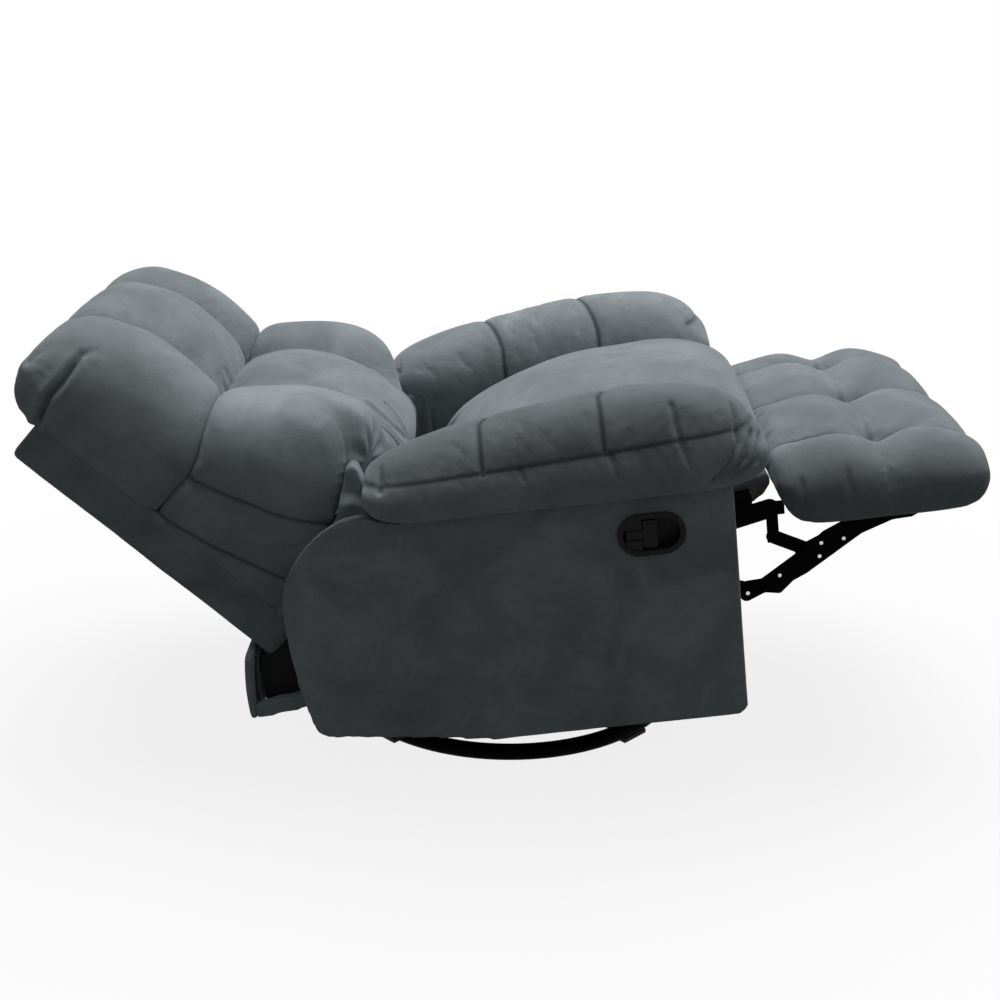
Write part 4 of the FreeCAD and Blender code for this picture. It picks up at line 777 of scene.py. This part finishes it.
def panel_shape(q):
    """Draws the panel's rear edge onto one smooth curve."""
    q = q.copy()
    u, v = q[:, 0] - PANEL_MIDDLE[0], q[:, 2] - PANEL_MIDDLE[1]
    turn, reach = np.arctan2(v, -u), np.hypot(u, v)
    steps = np.linspace(-EDGE_TURN, EDGE_TURN, EDGE_STEPS)
    last = EDGE_STEPS - 1
    place = np.clip(np.round((turn + EDGE_TURN) / (2 * EDGE_TURN) * last).astype(int), 0, last)
    edge = np.zeros(EDGE_STEPS)
    np.maximum.at(edge, place, reach)
    ring = np.array(rounded(PANEL_EDGE)) - PANEL_MIDDLE
    ring_turn = np.arctan2(ring[:, 1], -ring[:, 0])
    order = np.argsort(ring_turn)
    goal = np.interp(steps, ring_turn[order], np.hypot(ring[:, 0], ring[:, 1])[order])
    share = (goal / edge)[place]
    behind = 1 - ramp(np.abs(turn), 1.25, 1.5)
    grow = 1 + (share - 1) * behind * ramp(reach / edge[place], 0.6, 1.0)
    q[:, 0] = PANEL_MIDDLE[0] + u * grow
    q[:, 2] = PANEL_MIDDLE[1] + v * grow
    return q


def panel_painted_shade(q, facing):
    """Painted shade along the rear edge, where the back's side folds against it."""
    return -0.62 * ramp(facing[:, 2], 0.10, 0.55) * ramp(-q[:, 0], 0.12, 0.20)


def slab_painted_shade(q, facing):
    """Painted shade: the slab's sides are darker than its rear."""
    return -0.16 * ramp(np.abs(facing[:, 1]), 0.3, 0.8)


REAR_FOOT_Z = 0.168
REAR_HEIGHT = 0.128


def rear_lean(q):
    """The rear panel bows and leans out towards its foot."""
    q = q.copy()
    share = np.clip((q[:, 2] - REAR_FOOT_Z) / REAR_HEIGHT, 0, 1)
    q[:, 0] -= 0.011 * (1 - share) + 0.004 * np.sin(math.pi * share)
    return q


def rail_reach(q):
    """The side rails run on to the rear panel."""
    q = q.copy()
    q[:, 0] -= 0.014 * ramp(-q[:, 0], 0.40, 0.457)
    return q


for side in ("left", "right"):
    wrapped(f"side_cover_{side}", f"side_panel_{side}", "frame", shape=panel_shape, painted_light_and_shade=panel_painted_shade)
    wrapped(f"inner_cover_{side}", f"inner_arm_{side}", "frame")
wrapped("rear_cover", "rear_panel", "frame", shape=rear_lean, depth=0.0006)
wrapped("rear_side_covers", "rear_side_rails", "frame", shape=rail_reach, depth=0.0005)
wrapped("back_rear_cover", "back_shell", "back", rear_slab(), painted_light_and_shade=slab_painted_shade, places=BACK)
wrapped("front_rail_cover", "front_cross_rail", "frame", depth=0.0005)

# Smaller soft forms

GUSSET = [(0.055, 0.050), (0.055, -0.005), (0.120, -0.020), (0.220, -0.012), (0.285, 0.000), (0.318, 0.030),
          (0.328, 0.062), (0.340, 0.080), (0.352, 0.098), (0.358, 0.112), (0.352, 0.124), (0.338, 0.122),
          (0.318, 0.108), (0.245, 0.075), (0.200, 0.050)]
GUSSET_INNER_Y = 0.302
HINGE_N = 0.279
HINGE_S = 0.0595


def prism(outline, low, high, place):
    """A closed plate: an outline in the plane of u and v, from low to high across it."""
    mesh = bpy.data.meshes.new("prism")
    form = bmesh.new()
    rings = []
    for y in (low, high):
        flat = np.array([(u, y, v) for u, v in outline])
        rings.append([form.verts.new(c) for c in place(flat)])
    form.faces.new(rings[0])
    form.faces.new(rings[1][::-1])
    for i in range(len(outline)):
        j = (i + 1) % len(outline)
        form.faces.new((rings[0][i], rings[1][i], rings[1][j], rings[0][j]))
    bmesh.ops.recalc_face_normals(form, faces=form.faces[:])
    form.to_mesh(mesh)
    form.free()
    return mesh


def formed(name, mesh, smooth, places, material=FABRIC, voxel=FINE_VOXEL):
    """A small soft form from a closed plate."""
    o = remeshed(name, mesh, voxel, smooth, places)
    finish_soft(o, material)
    return o


def gusset(name, side):
    """The fabric that closes the back's side over its hinge, gathered towards the wing."""
    low, high = sorted((side * GUSSET_INNER_Y, side * (BACK_SIDE_Y - 0.0005)))
    o = formed(name, prism(GUSSET, low, high, from_back), 14, BACK)
    co = points(o)
    q = to_back(co)
    turn = np.arctan2(q[:, 2] - HINGE_S + 0.05, q[:, 0] - HINGE_N + 0.04)
    folds = np.cos(turn * 17 + 2 * ripple(co, 12, 4)) * ramp(q[:, 0], 0.20, 0.28)
    co = co - normals(o) * (0.0014 * folds + 0.001 * ripple(co, 14, 7))[:, None]
    hinge = 1 - ramp(np.hypot(q[:, 0] - HINGE_N, q[:, 2] - HINGE_S), 0.034, 0.052)
    co[:, 1] += side * 0.012 * hinge * ramp(np.abs(q[:, 1]), 0.345, 0.353)
    co[:, 1] -= side * 0.35 * np.maximum(q[:, 2] - 0.085, 0) * ramp(np.abs(q[:, 1]), 0.32, 0.35)
    set_points(o, co)
    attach(o, "back")
    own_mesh(o)


gusset("back_gusset_right", -1)
gusset("back_gusset_left", 1)

ARM_END = [(-0.140, 0.274), (-0.190, 0.276), (-0.209, 0.290), (-0.221, 0.314), (-0.227, 0.345),
           (-0.227, 0.394), (-0.140, 0.394)]
ARM_END_Z = (0.425, 0.548)


def upright(place):
    """Turns a plan outline's prism, made along y, into one along z."""
    return from_level(np.column_stack((place[:, 0], place[:, 2], place[:, 1])))


def arm_end(name, side):
    """The gathered fabric that closes the arm's rear end under its pad."""
    outline = [(x, side * y) for x, y in ARM_END]
    o = formed(name, prism(outline, *ARM_END_Z, upright), 6, LEVEL)
    co = points(o)
    q = to_level(co)
    reach = np.hypot(q[:, 0] + 0.20, q[:, 1] - side * 0.33) + 0.25 * (q[:, 2] - 0.48)
    folds = np.cos(q[:, 0] * 190 + q[:, 1] * side * 120 + 2.5 * ripple(co, 11, 4))
    folds = folds * ramp(ripple(co, 7, 9), -0.4, 0.3)
    set_points(o, co - normals(o) * (0.0022 * folds * ramp(reach, 0.0, 0.02))[:, None])
    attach(o, "frame")


arm_end("arm_end_cover_right", -1)
arm_end("arm_end_cover_left", 1)

SEAT_LIP = [(0.380, 0.452), (0.440, 0.478), (0.460, 0.482), (0.470, 0.474), (0.470, 0.460), (0.458, 0.442),
            (0.434, 0.426), (0.400, 0.412), (0.382, 0.420)]
SEAT_LIP_HALF = 0.262


def seat_lip():
    """The seat's fabric drawn under its front edge."""
    o = formed("seat_front_lip", prism(SEAT_LIP, -SEAT_LIP_HALF, SEAT_LIP_HALF, from_level), 5, LEVEL)
    co = points(o)
    set_points(o, co - normals(o) * (0.0012 * ripple(co, 16, 3))[:, None])
    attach(o, "seat")


seat_lip()

ARM_FRONT = [(0.3165, 0.527), (0.3165, 0.174), (0.3570, 0.174), (0.3570, 0.1005), (0.3990, 0.1005),
             (0.3990, 0.527)]
ARM_FRONT_X = (0.3795, 0.3885)
ARM_FRONT_VOXEL = 0.0040


def facing(place):
    """Turns a front outline's prism, made along y, into one along x."""
    return from_level(np.column_stack((place[:, 1], place[:, 0], place[:, 2])))


def arm_front(name, side):
    """The fabric over the front of the arm's frame."""
    outline = [(side * y, z) for y, z in ARM_FRONT]
    o = formed(name, prism(outline, *ARM_FRONT_X, facing), 2, LEVEL, PANEL_FABRIC, ARM_FRONT_VOXEL)
    co = points(o)
    set_points(o, co - normals(o) * (0.0006 * ripple(co, 11, 3))[:, None])
    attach(o, "frame")


arm_front("arm_front_cover_right", -1)
arm_front("arm_front_cover_left", 1)


# Black cloth: the dust cover, and black sheets of painted shade inside the frame

CLOTH_THICKNESS = 0.0012
DUST_SIZE = (0.270, 0.714)
REAR_SHADE_SIZE = (0.112, 0.744)
SIDE_SIZE = (0.130, 0.112)
SIDE_SHADE_Y = 0.351
SIDE_FOOT_Z = 0.185


def cloth_sheet(name, width, length, lay, node, body):
    """A stretched sheet of thin cloth; lay gives its level places from places across and along it."""
    mesh = bpy.data.meshes.new(name)
    form = bmesh.new()
    bmesh.ops.create_grid(form, x_segments=36, y_segments=72, size=0.5)
    form.to_mesh(mesh)
    form.free()
    o = add(name, mesh)
    co = points(o)
    set_points(o, from_level(lay(co[:, 0], co[:, 1]) + 0.0006 * ripple(co, 14, 2)[:, None]))
    mod = o.modifiers.new("thick", "SOLIDIFY")
    mod.thickness = CLOTH_THICKNESS
    mod.offset = 0
    apply_modifiers(o)
    o.data.polygons.foreach_set("use_smooth", [True] * len(o.data.polygons))
    o.data.materials.append(FINISHES["dust_cloth"])
    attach(o, body)
    return o


def dust_lay(u, v):
    """Level under the rear of the frame, with a slight sag."""
    sag = 0.006 * (1 - 4 * u ** 2) * (1 - 4 * v ** 2)
    return np.column_stack((-0.321 + DUST_SIZE[0] * u, DUST_SIZE[1] * v, 0.179 - sag))


def rear_shade_lay(u, v):
    """Along the inside of the rear panel: a black sheet of painted shade."""
    place = np.column_stack((np.full(len(u), -0.4535), REAR_SHADE_SIZE[1] * v, 0.235 + REAR_SHADE_SIZE[0] * u))
    return rear_lean(place)


def side_lay(side):
    """Upright between a rear side rail and the back's tail, whose slope its top edge follows."""
    def lay(u, v):
        x = -0.400 + SIDE_SIZE[1] * v
        top = np.interp(x, (-0.456, -0.4317, -0.3727, -0.344), (0.272, 0.285, 0.337, 0.352))
        z = SIDE_FOOT_Z + (u + 0.5) * (top - SIDE_FOOT_Z)
        return np.column_stack((x, np.full(len(u), side * SIDE_SHADE_Y), z))

    return lay


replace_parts(cloth_sheet("dust_cloth_sheet", *DUST_SIZE, dust_lay, "rear_side_rails", "frame"), "dust_cover")
# Black sheets of painted shade inside the rear panel and between the rear side rails and the back's tail.
cloth_sheet("rear_shade_sheet", *REAR_SHADE_SIZE, rear_shade_lay, "rear_panel", "frame")
cloth_sheet("side_shade_sheet_right", *SIDE_SIZE, side_lay(-1), "rear_side_rails", "frame")
cloth_sheet("side_shade_sheet_left", *SIDE_SIZE, side_lay(1), "rear_side_rails", "frame")


# Rocking springs


def flexing_springs(name, front):
    """Two of the rocking springs, between the rails under them and the bridges on top, split off from the CAD
    set.
    """
    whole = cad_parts["rocker_springs"]
    middle = points(whole)[:, 0].mean()
    o = add(name, whole.data.copy())
    form = bmesh.new()
    form.from_mesh(o.data)
    bmesh.ops.delete(form, geom=[v for v in form.verts if (v.co.x > middle) != front], context="VERTS")
    form.to_mesh(o.data)
    form.free()
    low, high = points(o).min(axis=0), points(o).max(axis=0)
    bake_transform(o)
    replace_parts(o, "rocker_springs")


flexing_springs("rocker_springs_front", True)
flexing_springs("rocker_springs_rear", False)


# Rivet heads and the handle's face plates

RIVETS = {
    "long_links": (0.0014, [(0.5442, 0.3127, 0.3602), (0.5834, 0.3127, 0.3642), (0.4690, 0.3127, 0.3074)]),
    "front_links": (0.0014, [(0.5400, 0.3137, 0.3360)]),
    "rear_links": (0.0003, [(0.4116, 0.3137, 0.2802)]),
}
RIVET_RADIUS = 0.0037


def rivet_heads(body, rise, places):
    """The domed heads on one pair of links, on both sides of the chair."""
    form = bmesh.new()
    for x, y, z in places:
        for side in (-1, 1):
            head = bmesh.ops.create_uvsphere(form, u_segments=20, v_segments=12, radius=1.0)["verts"]
            ball = np.array([v.co for v in head]) * (RIVET_RADIUS, rise, RIVET_RADIUS) + (x, side * y, z)
            for v, c in zip(head, from_level(ball)):
                v.co = c
    heads = add(f"rivet_heads_{body}", bpy.data.meshes.new(f"rivet_heads_{body}"))
    form.to_mesh(heads.data)
    form.free()
    heads.data.polygons.foreach_set("use_smooth", [True] * len(heads.data.polygons))
    heads.data.materials.append(FINISHES["bright_steel"])
    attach(heads, body)


for body, (rise, places) in RIVETS.items():
    rivet_heads(body, rise, places)

CUP_MIDDLE = (0.246, 0.454)
CUP_HALF = 0.0278
CUP_END_X = CUP_MIDDLE[0] - 0.020
STEM_HALF = 0.0095
GRIP_X = 0.2305
PLATE_Y = (-0.4222, -0.4170)
ARC_STEPS = 8


def face_plate(name, up):
    """The flat plate between the handle's stem and the rim, on one side of the stem."""
    outline = [(GRIP_X, STEM_HALF), (GRIP_X, CUP_HALF)]
    first = math.asin(STEM_HALF / CUP_HALF)
    for i in range(ARC_STEPS + 1):
        turn = math.pi / 2 + (math.pi / 2 - first) * i / ARC_STEPS
        outline.append((CUP_END_X + CUP_HALF * math.cos(turn), CUP_HALF * math.sin(turn)))
    outline = [(x, CUP_MIDDLE[1] + up * z) for x, z in outline]
    o = add(name, prism(outline, *PLATE_Y, from_level))
    mod = o.modifiers.new("edge", "BEVEL")
    mod.width = 0.0007
    mod.segments = 2
    apply_modifiers(o)
    o.data.materials.append(FINISHES["black_plastic"])
    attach(o, "frame")


face_plate("handle_plate_upper", 1)
face_plate("handle_plate_lower", -1)


# Stage: floor, light and camera

CAMERA_PLACE = (SHIFT - 0.018, -2.738, 1.376)
CAMERA_PITCH = math.radians(70.2)
SENSOR = 36.0
FOCAL_SHARE = 1.498
FLOOR_HALF = 9.0
FLOOR_PAINT = (0.22, 0.22, 0.22, 1)
FLOOR_SHOWN = (0.9, 0.9, 0.9, 1)
WHITE = (1, 1, 1, 1)
SKY_COLOUR = (0.95, 0.98, 1.0, 1)
SKY_STRENGTH = 0.16
LAMP_PLACE = (0.45, 0.75, 3.4)
LAMP_TARGET = (0.0, 0.0, 0.4)
LAMP_SIZE = (3.0, 2.6)
LAMP_POWER = 118


def shown_rays(nodes, links):
    """1 for the rays that see the background: from the camera, off gloss and through glass."""
    rays = nodes.new("ShaderNodeLightPath")
    total = rays.outputs["Is Camera Ray"]
    for word in ("Is Glossy Ray", "Is Transmission Ray"):
        node = nodes.new("ShaderNodeMath")
        node.operation = "MAXIMUM"
        links.new(total, node.inputs[0])
        links.new(rays.outputs[word], node.inputs[1])
        total = node.outputs["Value"]
    return total


def floor():
    """A pale floor that keeps the object's shadow near it and is plain white further off."""
    mesh = bpy.data.meshes.new("studio_floor")
    form = bmesh.new()
    bmesh.ops.create_grid(form, x_segments=2, y_segments=2, size=FLOOR_HALF)
    form.to_mesh(mesh)
    form.free()
    o = add("studio_floor", mesh)
    m = bpy.data.materials.new("studio_floor_paint")
    m.use_nodes = True
    nodes, links = m.node_tree.nodes, m.node_tree.links
    nodes.remove(nodes["Principled BSDF"])
    out = nodes["Material Output"]
    paint = nodes.new("ShaderNodeBsdfDiffuse")
    paint.inputs["Color"].default_value = FLOOR_PAINT
    pale = nodes.new("ShaderNodeBsdfDiffuse")
    pale.inputs["Color"].default_value = FLOOR_SHOWN
    glow = nodes.new("ShaderNodeEmission")
    glow.inputs["Color"].default_value = WHITE
    place = nodes.new("ShaderNodeTexCoord")
    radius = nodes.new("ShaderNodeVectorMath")
    radius.operation = "LENGTH"
    links.new(place.outputs["Object"], radius.inputs[0])
    shown = nodes.new("ShaderNodeMixShader")
    links.new(spread(nodes, links, radius.outputs["Value"], 0.7, 1.7, 0.84, 1.0), shown.inputs[0])
    links.new(pale.outputs[0], shown.inputs[1])
    links.new(glow.outputs[0], shown.inputs[2])
    mix = nodes.new("ShaderNodeMixShader")
    links.new(shown_rays(nodes, links), mix.inputs[0])
    links.new(paint.outputs[0], mix.inputs[1])
    links.new(shown.outputs[0], mix.inputs[2])
    links.new(mix.outputs[0], out.inputs["Surface"])
    mesh.materials.append(m)


def sky():
    """A dim even light, shown as white."""
    world = bpy.data.worlds.new("studio")
    SCENE.world = world
    world.use_nodes = True
    nodes, links = world.node_tree.nodes, world.node_tree.links
    fill = nodes["Background"]
    fill.inputs["Color"].default_value = SKY_COLOUR
    fill.inputs["Strength"].default_value = SKY_STRENGTH
    white = nodes.new("ShaderNodeBackground")
    white.inputs["Color"].default_value = WHITE
    white.inputs["Strength"].default_value = 1.0
    mix = nodes.new("ShaderNodeMixShader")
    links.new(shown_rays(nodes, links), mix.inputs[0])
    links.new(fill.outputs[0], mix.inputs[1])
    links.new(white.outputs[0], mix.inputs[2])
    links.new(mix.outputs[0], nodes["World Output"].inputs["Surface"])


def lamp(name, place, target, size, power):
    light = bpy.data.lights.new(name, "AREA")
    light.shape = "RECTANGLE"
    light.size, light.size_y = size
    light.energy = power
    o = bpy.data.objects.new(name, light)
    SCENE.collection.objects.link(o)
    o.location = place
    o.rotation_euler = (Vector(target) - Vector(place)).to_track_quat("-Z", "Y").to_euler()


def camera():
    data = bpy.data.cameras.new("photo_camera")
    data.sensor_width = SENSOR
    data.lens = SENSOR * FOCAL_SHARE
    o = bpy.data.objects.new("photo_camera", data)
    SCENE.collection.objects.link(o)
    o.location = CAMERA_PLACE
    o.rotation_euler = (CAMERA_PITCH, 0, 0)
    SCENE.camera = o


floor()
sky()
lamp("overhead", LAMP_PLACE, LAMP_TARGET, LAMP_SIZE, LAMP_POWER)
camera()
SCENE.view_settings.view_transform = "Standard"
